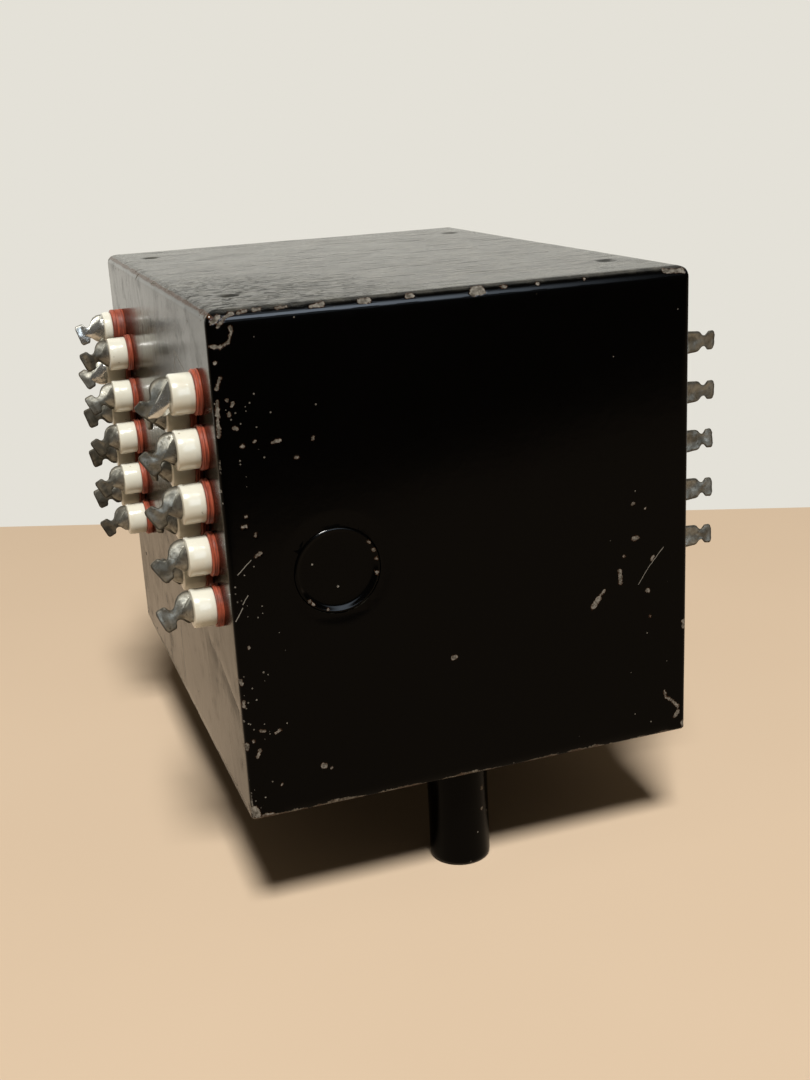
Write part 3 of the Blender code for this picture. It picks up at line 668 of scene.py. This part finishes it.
# ---- Can ----
def can_ring(inset, height, radius):
    """Points round the can at one height in millimetres, pushed in from its sides."""
    middle = (CAN_LOW + CAN_HIGH) / 2
    ring = []
    for sx, sy, start in ((1, 1, 0), (-1, 1, 90), (-1, -1, 180), (1, -1, 270)):
        x = middle.x + sx * (CAN_SIZE.x / 2 - (inset + radius) * MM)
        y = middle.y + sy * (CAN_SIZE.y / 2 - (inset + radius) * MM)
        for i in range(CORNER_SEGMENTS + 1):
            angle = radians(start + 90 * i / CORNER_SEGMENTS)
            across = Vector((cos(angle), sin(angle), 0)) * radius * MM
            ring.append(Vector((x, y, CAN_LOW.z + height * MM)) + across)
    return ring


def can_block():
    """The hollow can: rings of points down the inside, round the rim, up the outside and over the top."""
    height = CAN_SIZE.z / MM
    inner = max(CORNER_RADIUS - WALL, SHARPEST_CORNER)
    bm = bmesh.new()
    loops = [can_ring(WALL, height - WALL, inner), can_ring(WALL, RIM_RADIUS, inner)]
    loops.append(can_ring(WALL - RIM_RADIUS, 0.0, inner))
    loops.append(can_ring(RIM_RADIUS, 0.0, CORNER_RADIUS - RIM_RADIUS))
    loops.append(can_ring(0.0, RIM_RADIUS, CORNER_RADIUS))
    for i in range(TOP_EDGE_SEGMENTS + 1):
        angle = radians(90 * i / TOP_EDGE_SEGMENTS)
        inset = TOP_EDGE_RADIUS * (1 - cos(angle))
        top = height - TOP_EDGE_RADIUS * (1 - sin(angle))
        loops.append(can_ring(inset, top, max(CORNER_RADIUS - inset, SHARPEST_CORNER)))
    loft(bm, loops)
    bmesh.ops.recalc_face_normals(bm, faces=bm.faces)
    return bm


def insets(points):
    """Each point's distance in millimetres from the can's left, front and bottom, and from the others."""
    low = (points - np.array(CAN_LOW)) / MM
    high = (np.array(CAN_HIGH) - points) / MM
    return low, high


def on_outside(low, high):
    return np.minimum(low[:, :2].min(axis=1), high.min(axis=1)) < OUTER_SKIN


def outer_elements(bm):
    """The faces of the can's outer skin, with their edges and corners."""
    outside = on_outside(*insets(np.array([face.calc_center_median() for face in bm.faces])))
    chosen = [face for face, out in zip(bm.faces, outside) if out]
    edges = {edge for face in chosen for edge in face.edges}
    verts = {vert for face in chosen for vert in face.verts}
    return list(verts) + list(edges) + chosen


def cut_grid(bm):
    """Cuts the outer skin into small squares, so that it can be dented."""
    elements = outer_elements(bm)
    for axis in range(3):
        count = round(CAN_SIZE[axis] / MM / GRID_SPACING)
        normal = Vector([1.0 if i == axis else 0.0 for i in range(3)])
        for i in range(1, count):
            at = CAN_LOW + normal * CAN_SIZE[axis] * i / count
            done = bmesh.ops.bisect_plane(bm, geom=elements, plane_co=at, plane_no=normal, dist=1e-6)
            elements = done["geom"]


def drilled(bm):
    """The can with its bush holes and plug hole cut by a Boolean."""
    cutters = bmesh.new()
    plug = Matrix.Translation(plug_place()) @ Matrix.Rotation(radians(90), 4, "X")
    for _, _, label, side in terminals():
        turn = Matrix.Translation(bush_place(label, side)) @ Matrix.Rotation(radians(90), 4, "Y")
        hole(cutters, turn, BUSH_HOLE_RADIUS, BUSH_HOLE_SEGMENTS)
    hole(cutters, plug, PLUG_RADIUS + PLUG_GAP, PLUG_SEGMENTS)
    blank, cutter = (linked(name, bpy.data.meshes.new(name)) for name in ("can_blank", "cutters"))
    for obj, made in ((blank, bm), (cutter, cutters)):
        made.to_mesh(obj.data)
        made.free()
    modifier = blank.modifiers.new("holes", "BOOLEAN")
    modifier.operation = "DIFFERENCE"
    modifier.solver = "EXACT"
    modifier.object = cutter
    bpy.context.view_layer.update()
    graph = bpy.context.evaluated_depsgraph_get()
    result = bpy.data.meshes.new_from_object(blank.evaluated_get(graph))
    for obj in (blank, cutter):
        bpy.data.objects.remove(obj, do_unlink=True)
    done = bmesh.new()
    done.from_mesh(result)
    bpy.data.meshes.remove(result)
    return done


def hole(bm, turn, radius, segments):
    """A cylinder through the wall, to be cut out."""
    size = {"radius1": radius * MM, "radius2": radius * MM, "depth": 5 * WALL * MM}
    made = bmesh.ops.create_cone(bm, cap_ends=True, segments=segments, **size)
    bmesh.ops.transform(bm, matrix=turn, verts=made["verts"])


def plug_place():
    middle = (PLUG_LOW + PLUG_HIGH) / 2
    return Vector((middle.x, CAN_LOW.y, middle.z))


def from_plug(low):
    """Distance along the front face from the plug's middle, in millimetres."""
    plug = (plug_place() - CAN_LOW) / MM
    return np.hypot(low[:, 0] - plug.x, low[:, 2] - plug.z)


def chip_table():
    """Every chip as (axis across, face, (start, end, radius)), the front's and others."""
    chips = [(0, (1, "low"), chip) for chip in FRONT_CHIPS]
    draw = random.Random(41)
    width, depth, height = (side / MM for side in CAN_SIZE)
    for across, face, span in ((0, (1, "high"), width), (1, (0, "low"), depth), (1, (0, "high"), depth)):
        for _ in range(CHIPS_PER_FACE):
            near, far = draw.uniform(*CORNER_REACH), span - draw.uniform(*CORNER_REACH)
            at = draw.choice((near, far, draw.uniform(2, span - 2)))
            near, far = draw.uniform(*CORNER_REACH), height - draw.uniform(*TOP_REACH)
            up = draw.choice((near, far, draw.uniform(2, height - 2)))
            if face == (0, "low") and 5 < at < span - 14 and up > 3:
                up = height - draw.uniform(*TOP_REACH)
            reach = draw.uniform(0.0, 1.2)
            angle = draw.uniform(0, pi)
            end = (at + reach * cos(angle), up + reach * sin(angle))
            chips.append((across, face, (at, up, *end, draw.uniform(0.18, 0.5))))
    return chips


def from_segment(place, start, end):
    """The distance of each point of a plane from a straight segment in it."""
    along = np.subtract(end, start)
    share = np.clip((place - start) @ along / max(along @ along, 1e-6), 0, 1)
    return np.linalg.norm(place - start - share[:, None] * along, axis=1)


def chip_distance(points, chip):
    """How far each point is outside a chip's outline, in millimetres."""
    low, high = insets(points)
    across, (axis, end), (*ends, radius) = chip
    distance = from_segment(low[:, (across, 2)], ends[:2], ends[2:]) - radius * CHIP_SPREAD
    near = (low if end == "low" else high)[:, axis] < TOP_EDGE_RADIUS + 0.2
    return np.where(near, distance, FAR)


def refine(bm, far, levels):
    """Splits the edges that a distance function calls close, a few times over."""
    for reach in levels:
        bm.edges.ensure_lookup_table()
        middles = np.array([(e.verts[0].co + e.verts[1].co) / 2 for e in bm.edges])
        close = np.nonzero(far(middles) < reach)[0]
        edges = [bm.edges[i] for i in close]
        bmesh.ops.subdivide_edges(bm, edges=edges, cuts=1, use_grid_fill=True)


def feature_distance(points, chips):
    """Distance in millimetres to the nearest chip or dimple."""
    low, high = insets(points)
    far = np.full(len(points), FAR)
    for chip in chips:
        far = np.minimum(far, chip_distance(points, chip))
    on_top = high[:, 2] < 0.5
    for x, y in DIMPLE_PLACES:
        away = np.hypot(low[:, 0] - x, low[:, 1] - y) - DIMPLE[0]
        far = np.minimum(far, np.where(on_top, away, FAR))
    return far


def ring_distance(points):
    """Distance to the dished ring round the plug and to the crease, which need a coarser split."""
    low, _ = insets(points)
    far = np.where(low[:, 1] < 0.5, np.maximum(from_plug(low) - PLUG_DISH[0], 0), FAR)
    crease = np.where(low[:, 0] < 0.5, crease_distance(low), FAR)
    return np.minimum(far, crease)


def crease_distance(low):
    """Distance from the bend on the left face."""
    runs = zip(LEFT_CREASE, LEFT_CREASE[1:])
    return np.minimum.reduce([from_segment(low[:, 1:3], start, end) for start, end in runs])


def dents(points, low, high):
    """How far the outer skin is pushed in at each point, in millimetres."""
    place = points / MM
    depth = np.zeros(len(points))
    for size, amount, shift in WAVES:
        depth += amount * noise_field(place, size, shift)
    top = high[:, 2] < 0.3
    size, amount, stretch = TOP_RIPPLE
    depth += np.where(top, amount * noise_field(place * stretch, size, 8.0), 0.0)
    uneven = 0.25 * noise_field(place, 2.2, 12.0)
    for x, y in DIMPLE_PLACES:
        away = np.hypot(low[:, 0] - x, low[:, 1] - y) / DIMPLE[0] + uneven
        depth += np.where(top, DIMPLE[1] * smoothed(1.15 - away * 0.95), 0.0)
    reach, drop = PLUG_DISH
    dish = drop * smoothed((reach - from_plug(low)) / (reach - PLUG_RADIUS))
    depth += np.where(low[:, 1] < 0.5, dish, 0.0)
    left = low[:, 0] < 0.5
    depth += np.where(left, CREASE_DEPTH * smoothed(1 - crease_distance(low) / CREASE_WIDTH), 0.0)
    return depth


def wear_maps(points, chips):
    """The values, from 0 to 1, that tell the enamel where it is chipped, worn, specked and wrinkled."""
    low, high = insets(points)
    x, y, z = low.T
    top = high[:, 2]
    warp = sum(amount * noise_field(points / MM, size, shift) for amount, size, shift in CHIP_WARPS)
    bare = np.zeros(len(points))
    for chip in chips:
        bare = np.maximum(bare, chipped(chip_distance(points, chip) + warp))
    to_edge = np.sort(np.concatenate([low, high], axis=1), axis=1)[:, 1]
    reach = np.where((top < 3) & (y > 3), TOP_WEAR_REACH, EDGE_WEAR_REACH)
    edge = np.clip(1 - to_edge / reach, 0.0, 1.0)
    edge = edge * np.where((x < 3) & (top < 3), 1.05, 1.0) * np.where(z < 1.2, 1.3, 1.0)
    strip = np.clip(1 - x / 11.0, 0.0, 1.0) ** 1.5
    lower = np.clip(1 - np.abs(z - 22.0) / 34.0, 0.0, 1.0)
    upper = np.clip(1 - np.abs(z - 78.0) / 14.0, 0.0, 1.0)
    front = y < 1.0
    wear = 0.001 + np.where(front, strip * (0.15 + 1.0 * np.maximum(lower, upper)), 0.0)
    wear += 0.06 * np.clip(1 - to_edge / 5.0, 0.0, 1.0)
    wear += np.where(front & (x > 70) & (z < 60), 0.02, 0.0)
    ripple = np.clip(1.2 - np.hypot(x - 4, y - 16) / 40.0, 0.12, 1.0)
    line = np.clip(1.2 - np.abs(x - top) / 0.9, 0.0, 1.0) * (x < TOP_EDGE_RADIUS)
    return {"bare": bare, "edge": edge, "wear": wear, "ripple": ripple, "line": line}


def build_can():
    bm = can_block()
    cut_grid(bm)
    bm = drilled(bm)
    chips = chip_table()
    refine(bm, lambda points: feature_distance(points, chips), (2.4, 1.2, 0.7))
    refine(bm, ring_distance, (0.8, 0.5))
    mesh = finish_mesh("can_body", bm, MATERIALS["can"], 50.0)
    points = vertex_values(mesh, "co")
    normals = vertex_values(mesh, "normal")
    low, high = insets(points)
    outer = on_outside(low, high)
    maps = wear_maps(points, chips)
    depth = dents(points, low, high) + CHIP_DEPTH * smoothed((maps["bare"] - 0.35) / 0.3)
    depth = np.where(outer & (low[:, 2] > 0.02), depth, 0.0)
    points -= normals * (depth * MM)[:, None]
    mesh.vertices.foreach_set("co", points.astype(np.float32).ravel())
    for name, values in maps.items():
        store(mesh, name, np.where(outer, values, 0.0))
    mesh.update()
    piece("can_body", mesh, "can", "can_enamel", ["can_shell"])


def build_plug():
    """The dished, painted disc that closes the filling hole."""
    back = (PLUG_HIGH.y - PLUG_LOW.y) / MM + 0.15
    flange = ((PLUG_PROFILE[-1][0], PLUG_FLANGE_RADIUS), (back, PLUG_FLANGE_RADIUS), (back, 0.001))
    turn = Matrix.Translation(plug_place()) @ Matrix.Rotation(radians(-90), 4, "X")
    profile = PLUG_PROFILE + flange
    mesh = turned_mesh("plug_disc", profile, PLUG_SEGMENTS, MATERIALS["enamel"], place=turn)
    x, _, z = ((vertex_values(mesh, "co") - np.array(plug_place())) / MM).T
    bare = np.zeros(len(x))
    for angle, size in PLUG_CHIPS:
        middle = Matrix.Rotation(radians(angle), 2) @ Vector((PLUG_RADIUS - PLUG_BEAD, 0))
        bare = np.maximum(bare, chipped(np.hypot(x - middle.x, z - middle.y) - size))
    past_rim = np.hypot(x, z) - PLUG_RADIUS
    store(mesh, "bare", bare)
    store(mesh, "edge", np.where((past_rim > -0.8) & (past_rim < 0.05), 0.25, 0.0))
    store(mesh, "wear", np.full(len(x), 0.03))
    piece("plug_disc", mesh, "can", "plug_enamel", ["filler_plug"])


def build_base():
    """The soldered-in bottom with a lumpy seam of solder and paint where it meets the rim."""
    low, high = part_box("base_cover")
    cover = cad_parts["base_cover"]
    cover.data.materials.clear()
    cover.data.materials.append(MATERIALS["enamel"])
    bm = bmesh.new()
    around = []
    corners = ((low.x, low.y), (high.x, low.y), (high.x, high.y), (low.x, high.y))
    for (x0, y0), (x1, y1) in zip(corners, corners[1:] + corners[:1]):
        steps = round(hypot(x1 - x0, y1 - y0) / MM / SEAM_SPACING)
        around += [(x0 + (x1 - x0) * i / steps, y0 + (y1 - y0) * i / steps) for i in range(steps)]
    middle = (low + high) / 2
    amount, size = SEAM_SWELL
    rings = []
    for x, y in around:
        on_x = abs(abs(x - middle.x) - (high.x - low.x) / 2) < 1e-6
        on_y = abs(abs(y - middle.y) - (high.y - low.y) / 2) < 1e-6
        inward = Vector((copysign(on_x, middle.x - x), copysign(on_y, middle.y - y), 0))
        swell = (1.0 + amount * noise.noise(Vector((x, y, 0)) / (size * MM))) * MM
        base = Vector((x, y, low.z))
        ring = []
        for i in range(SEAM_STEPS + 1):
            angle = radians(90 * i / SEAM_STEPS)
            drop = Vector((0, 0, SEAM_SIZE[1] * swell * sin(angle)))
            ring.append(base + inward * (SEAM_SIZE[0] * swell * cos(angle)) - drop)
        rings.append(ring + [base - inward * SEAM_OVERLAP * MM])
    loft(bm, rings + rings[:1], caps=False)
    bmesh.ops.remove_doubles(bm, verts=bm.verts, dist=1e-7)
    piece("base_seam", finish_mesh("base_seam", bm, MATERIALS["enamel"], 60.0), "can", "can_enamel")


# ---- Terminals ----
def terminals():
    """Every terminal as its column, place in the column, label and the side of the can it stands on."""
    for column, (side, count) in TERMINAL_COLUMNS.items():
        for i in range(count):
            yield column, i, f"{column}_{i + 1}", side


def bush_place(label, side):
    """The middle of a terminal where it meets the wall."""
    low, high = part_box(f"terminal_{label}")
    middle = (low + high) / 2
    return Vector((CAN_LOW.x if side < 0 else CAN_HIGH.x, middle.y, middle.z))


def outward(place, side):
    """Turns +Z to point out of the wall, keeping +X level with the lug's face and +Y up the wall."""
    turn = Matrix(((0, 0, side, 0), (-side, 0, 0, 0), (0, 1, 0, 0), (0, 0, 0, 1)))
    return Matrix.Translation(place) @ turn


def washer_mesh(name, end, draw):
    """A fibre washer pressed out of layered sheet, a little uneven round its edge."""
    phase = Vector((draw.uniform(0, 50), 0, 0))
    side = WASHER_RADIUS - 0.15
    profile = [(0.0, WASHER_BORE), (0.0, side)]
    for i in range(WASHER_LAYERS):
        low, high = (0.08 + (end - 0.16) * (i + j) / WASHER_LAYERS for j in (0, 1))
        bulge = WASHER_RADIUS + draw.uniform(-0.06, 0.04)
        profile += [(low + 0.05, bulge - 0.07), ((low + high) / 2, bulge), (high - 0.05, bulge - 0.07)]
    profile += [(end, side), (end, WASHER_BORE)]

    def uneven(point):
        if hypot(point.x, point.y) < 3.0 * MM:
            return point
        swell = 1 + 0.018 * noise.noise(Vector((point.x, point.y, point.z * 3)) / (1.6 * MM) + phase)
        return Vector((point.x * swell, point.y * swell, point.z))

    return turned_mesh(name, profile, BUSH_SEGMENTS, MATERIALS["fibre"], uneven, 50.0)


def ceramic_mesh(name, start, end, draw):
    """A glazed bush with rounded ends, leaning very slightly, and its neck through the wall."""
    lean = draw.uniform(-0.02, 0.02)
    floor = end - 0.3
    neck, neck_radius = CERAMIC_NECK
    profile = [(neck, 0.001), (neck, neck_radius), (start, neck_radius)]
    profile += [(start + along, CERAMIC_RADIUS - less) for along, less in CERAMIC_START]
    profile += [(start + (end - start) * share, CERAMIC_RADIUS + 0.02) for share in (0.3, 0.5, 0.7)]
    profile += [(end - along, CERAMIC_RADIUS - less) for along, less in CERAMIC_END]
    profile += [(end, CERAMIC_BORE), (floor, CERAMIC_BORE - 0.3), (floor, 0.001)]

    def leaning(point):
        return Vector((point.x, point.y + lean * (point.z - start * MM), point.z))

    return turned_mesh(name, profile, BUSH_SEGMENTS, MATERIALS["ceramic"], leaning)


def profile_at(outline, distance):
    for (d0, w0), (d1, w1) in zip(outline, outline[1:]):
        if distance <= d1:
            share = (distance - d0) / (d1 - d0)
            return w0 + (w1 - w0) * share
    return outline[-1][1]


def lug_mesh(name, outline, start, bends, material, draw):
    """A stamped, tinned solder tag: folded body, waisted neck and flared head, bent by use."""
    droop, twist, turn, fold = bends
    first, last = outline[0][0], outline[-1][0]
    neck = last - LUG_NECK
    at = Vector((0, 0, start + first))
    crooked = draw.uniform(0, 90)
    loops = []
    step = (last - first) / LUG_STATIONS
    for i in range(LUG_STATIONS + 1):
        distance = first + step * i
        share = float(smoothed((distance + 0.4) / (neck + 0.6)))
        rotation = Matrix.Identity(3)
        for angle, axis in ((turn, "Y"), (droop, "X"), (twist, "Z")):
            rotation = rotation @ Matrix.Rotation(radians(angle * share), 3, axis)
        half = profile_at(outline, distance)
        depth = fold * (1 - float(smoothed((distance - 0.4) / (neck + 1.0))) * 0.8)
        upper, lower = [], []
        for t in LUG_ACROSS:
            ripple = 0.22 * noise.noise(Vector((distance * 0.7, t * 1.1, crooked)))
            off = depth * (abs(t) ** 1.15) * half / 2.6 + ripple
            thick = LUG_THICKNESS / 2 * (0.45 if abs(t) > 0.97 else 1.0)
            middle = at + rotation.col[1] * (half * t)
            upper.append((middle + rotation.col[0] * (off + thick)) * MM)
            lower.append((middle + rotation.col[0] * (off - thick)) * MM)
        loops.append(upper + lower[::-1])
        at = at + rotation.col[2] * step
    bm = bmesh.new()
    loft(bm, loops)
    mesh = finish_mesh(name, bm, MATERIALS[material], 60.0)
    # Marks the lug's edges and last stations as its rim, which the tinned material darkens with painted
    # shade.
    edge = np.tile(np.abs(LUG_ACROSS + LUG_ACROSS[::-1]) > 0.9, LUG_STATIONS + 1)
    end = np.repeat(np.arange(LUG_STATIONS + 1), 2 * len(LUG_ACROSS)) >= LUG_STATIONS - 1
    store(mesh, "rim", np.where(edge | end, 1.0, 0.0))
    return mesh


def solder_mesh(name, start, size, droop, material, draw):
    """The cone of solder that runs from the stud on to the lug and slumps with it."""
    length, radius = size
    base = start - 0.25
    seed = Vector((draw.uniform(0, 60), 0, 0))
    profile = []
    for i in range(SOLDER_RINGS + 1):
        share = i / SOLDER_RINGS
        taper = radius * (1 - share) ** 0.8 * (1 + 0.12 * sin(5 * share))
        profile.append((base + length * share, max(taper, 0.02)))

    def lumpy(point):
        swell = 1 + 0.16 * noise.noise(point / (1.9 * MM) + seed)
        slump = -tan(radians(droop)) * (point.z - base * MM) * 0.75
        return Vector((point.x * swell * 0.55, point.y * swell + slump, point.z))

    return turned_mesh(name, profile, SOLDER_SEGMENTS, MATERIALS[material], lumpy, 60.0)


def lug_bends(column, index, draw):
    """How one lug is bent. The front outer column has its own table; the others vary about a droop."""
    if column == "left_front_outer":
        return FRONT_OUTER_BENDS[index]
    if column == "right_front":
        return (draw.uniform(-3, 3), draw.uniform(-10, 10), draw.uniform(-3, 3), 0.4)
    if column == "left_front_inner":
        return (draw.uniform(6, 14), draw.uniform(-8, 8), draw.uniform(70, 78), 1.2)
    return (draw.uniform(14, 30), draw.uniform(-20, 20), draw.uniform(-6, 6), draw.uniform(1.0, 1.5))


def bush_kind(label):
    if label.startswith("right"):
        return SHORT_BUSH
    return PATCHED_BUSH if label == "left_rear_outer_1" else TALL_BUSH


def build_terminal(label, side, bends, draw):
    """One terminal in four pieces. Its bush stands for the whole CAD node."""
    washer_end, ceramic_end, outline = bush_kind(label)
    shiny = label in SHINY_LUGS
    size = SHINY_SOLDER if shiny else [draw.uniform(*span) for span in DULL_SOLDER]
    lug = "solder" if label == "left_rear_outer_1" else "lug"
    blob = "solder" if shiny else "dull_solder"
    parts = {
        "bush": ceramic_mesh(f"{label}_bush", washer_end, ceramic_end, draw),
        "washer": washer_mesh(f"{label}_washer", washer_end, draw),
        "lug": lug_mesh(f"{label}_lug", outline, ceramic_end, bends, lug, draw),
        "solder": solder_mesh(f"{label}_solder", ceramic_end, size, bends[0], blob, draw),
    }
    turn = outward(bush_place(label, side), side)
    for part, mesh in parts.items():
        mesh.transform(turn)
        if turn.determinant() < 0:
            mesh.flip_normals()
        stands_for = ("terminal_ceramic", [f"terminal_{label}"]) if part == "bush" else ()
        piece(f"{label}_{part}", mesh, "can", *stands_for)


def build_terminals():
    draw = random.Random(17)
    for column, i, label, side in terminals():
        build_terminal(label, side, lug_bends(column, i, draw), draw)


# ---- Shafts ----
# The rounded foot: height, and distance from the full radius.
SHAFT_FOOT = ((0.0, 1.1), (0.08, 0.7), (0.3, 0.28), (0.65, 0.06), (1.0, 0.0))
SHAFT_STEPS = 40
SHAFT_SEGMENTS = 96
SHAFT_STUB_RADIUS = 3.0
# Chips on a shaft: degrees round it from the right, height and radius.
SHAFT_CHIPS = ((-58, 17.5, 0.5), (-60, 12.6, 0.42), (120, 8.0, 0.4), (30, 20.0, 0.35))


def build_shaft(section):
    """A painted tuning shaft: a long cylinder with a small round at its foot and a few chips."""
    node = f"tuning_shaft_{section}"
    low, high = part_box(node)
    foot = Vector(((low.x + high.x) / 2, (low.y + high.y) / 2, low.z))
    radius = (high.x - low.x) / 2 / MM
    top = (high.z - low.z) / MM
    shoulder = (CAN_LOW.z - low.z) / MM + 1.0
    profile = [(0.0, 0.001)] + [(height, radius - less) for height, less in SHAFT_FOOT]
    profile += [(1.0 + (shoulder - 1.0) * i / SHAFT_STEPS, radius) for i in range(1, SHAFT_STEPS + 1)]
    profile += [(shoulder, SHAFT_STUB_RADIUS), (top, SHAFT_STUB_RADIUS), (top, 0.001)]

    def waved(point):
        swell = 1 + 0.004 * noise.noise(point / (7 * MM))
        return Vector((point.x * swell, point.y * swell, point.z))

    name, place = f"{section}_shaft_rod", Matrix.Translation(foot)
    mesh = turned_mesh(name, profile, SHAFT_SEGMENTS, MATERIALS["enamel"], waved, place=place)
    x, y, z = ((vertex_values(mesh, "co") - np.array(foot)) / MM).T
    bare = np.zeros(len(x))
    for at, height, size in SHAFT_CHIPS:
        across = (np.arctan2(y, x) - radians(at)) * radius
        bare = np.maximum(bare, chipped(np.hypot(across, z - height) - size))
    store(mesh, "bare", bare)
    store(mesh, "edge", np.clip(0.8 - z / 1.2, 0.0, 0.8))
    store(mesh, "wear", np.full(len(x), 0.02))
    piece(name, mesh, f"{section}_shaft", "shaft_enamel", [node])


# ---- Inner CAD nodes ----
def dress_inner_nodes():
    """Better materials for the CAD nodes that are shown as they are."""
    kinds = {
        "frame_": "steel",
        "shaft_bush": "brass",
        "drive_pinion": "brass",
        "rotor_gear": "brass",
        "rotor_": "aluminium",
        "stator_rod": "steatite",
        "stator_": "aluminium",
        "top_bearing": "brass",
    }
    for name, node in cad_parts.items():
        for start, kind in kinds.items():
            if name.startswith(start):
                node.data.materials.clear()
                node.data.materials.append(MATERIALS[kind])
                break


# ---- Stage ----
CAMERA_PLACE = (-0.0930, -0.3020, 0.1577)
CAMERA_HEADING = 18.46
CAMERA_DROP = 17.5
CAMERA_ROLL = -3.09
CAMERA_LENS = 45.28
TABLE_EDGE_DISTANCE = 0.215
TABLE_TURN = -24.4
TABLE_SIZE = (3.0, 0.53, 0.03)
WALL_COLOR = (0.776, 0.753, 0.686)
GLOSS_BACK = (1.36, 1.33, 1.20)
GLOSS_LOW = (1.02, 0.97, 0.86)
GLOSS_FRONT = (0.010, 0.010, 0.011)
HORIZON = (-0.05, 0.02)
BACK_WALL = (-0.05, 0.45)
FILL_COLOR = (0.085, 0.070, 0.050)
# A bright window behind the camera, seen only in reflections. It fades in over each of these spans of
# the direction's x, y or z.
WINDOW_COLOR = (3.1, 3.6, 4.2)
WINDOW_SPREAD = (
    (0, -0.02, 0.12), (0, 0.50, 0.24), (1, -0.30, -0.55), (2, -0.03, 0.08), (2, 0.80, 0.45),
)
KEY_DIRECTION = (-0.12, -0.50, 0.86)
KEY_DISTANCE = 3.0
KEY_SIZE = 0.62
KEY_POWER = 116.0
KEY_COLOR = (1.0, 0.98, 0.935)


def build_camera():
    data = bpy.data.cameras.new("camera")
    data.lens = CAMERA_LENS
    data.sensor_width = 36.0
    data.clip_start = 0.01
    camera = linked("camera", data)
    aim = Matrix.Rotation(radians(-CAMERA_HEADING), 4, "Z")
    aim = aim @ Matrix.Rotation(radians(90 - CAMERA_DROP), 4, "X")
    aim = aim @ Matrix.Rotation(radians(CAMERA_ROLL), 4, "Z")
    camera.matrix_world = Matrix.Translation(CAMERA_PLACE) @ aim
    bpy.context.scene.camera = camera


def build_table():
    bm = bmesh.new()
    bmesh.ops.create_cube(bm, size=1.0)
    bmesh.ops.scale(bm, vec=TABLE_SIZE, verts=bm.verts)
    middle = (0, TABLE_EDGE_DISTANCE - TABLE_SIZE[1] / 2, -TABLE_SIZE[2] / 2)
    bmesh.ops.translate(bm, vec=middle, verts=bm.verts)
    bmesh.ops.rotate(bm, matrix=Matrix.Rotation(radians(TABLE_TURN), 3, "Z"), verts=bm.verts)
    table = linked("table", finish_mesh("table", bm, table_material()))


def build_key_light():
    data = bpy.data.lights.new("key", "AREA")
    data.energy = KEY_POWER
    data.size = KEY_SIZE
    data.color = KEY_COLOR
    way = Vector(KEY_DIRECTION).normalized()
    turn = way.to_track_quat("Z", "Y").to_matrix().to_4x4()
    linked("key", data).matrix_world = Matrix.Translation(way * KEY_DISTANCE) @ turn


def build_world():
    """A pale wall behind, for reflections a dark room with a window in front, and an even fill."""
    world = bpy.data.worlds.new("room")
    world.use_nodes = True
    bpy.context.scene.world = world
    g = Graph(world.node_tree)
    g.tree.nodes.clear()
    axes = g.axes(g.node("ShaderNodeTexCoord").outputs["Generated"])
    back = g.tint(g.step(axes[2], *HORIZON), GLOSS_LOW, GLOSS_BACK)
    gloss = g.tint(g.step(axes[1], *BACK_WALL), GLOSS_FRONT, back)
    window = 1.0
    for axis, low, high in WINDOW_SPREAD:
        window = g.mul(window, g.step(axes[axis], low, high))
    gloss = g.tint(window, gloss, WINDOW_COLOR, "ADD")
    ray = g.node("ShaderNodeLightPath").outputs
    color = g.tint(ray["Is Glossy Ray"], FILL_COLOR, gloss)
    color = g.tint(ray["Is Camera Ray"], color, WALL_COLOR)
    background = g.node("ShaderNodeBackground")
    g.feed(background.inputs["Color"], color)
    g.feed(g.node("ShaderNodeOutputWorld").inputs["Surface"], background.outputs[0])


build_camera()
build_can()
build_plug()
build_base()
build_terminals()
build_shaft("front")
build_shaft("rear")
dress_inner_nodes()
build_table()
build_world()
build_key_light()
bpy.context.scene.view_settings.view_transform = "Standard"
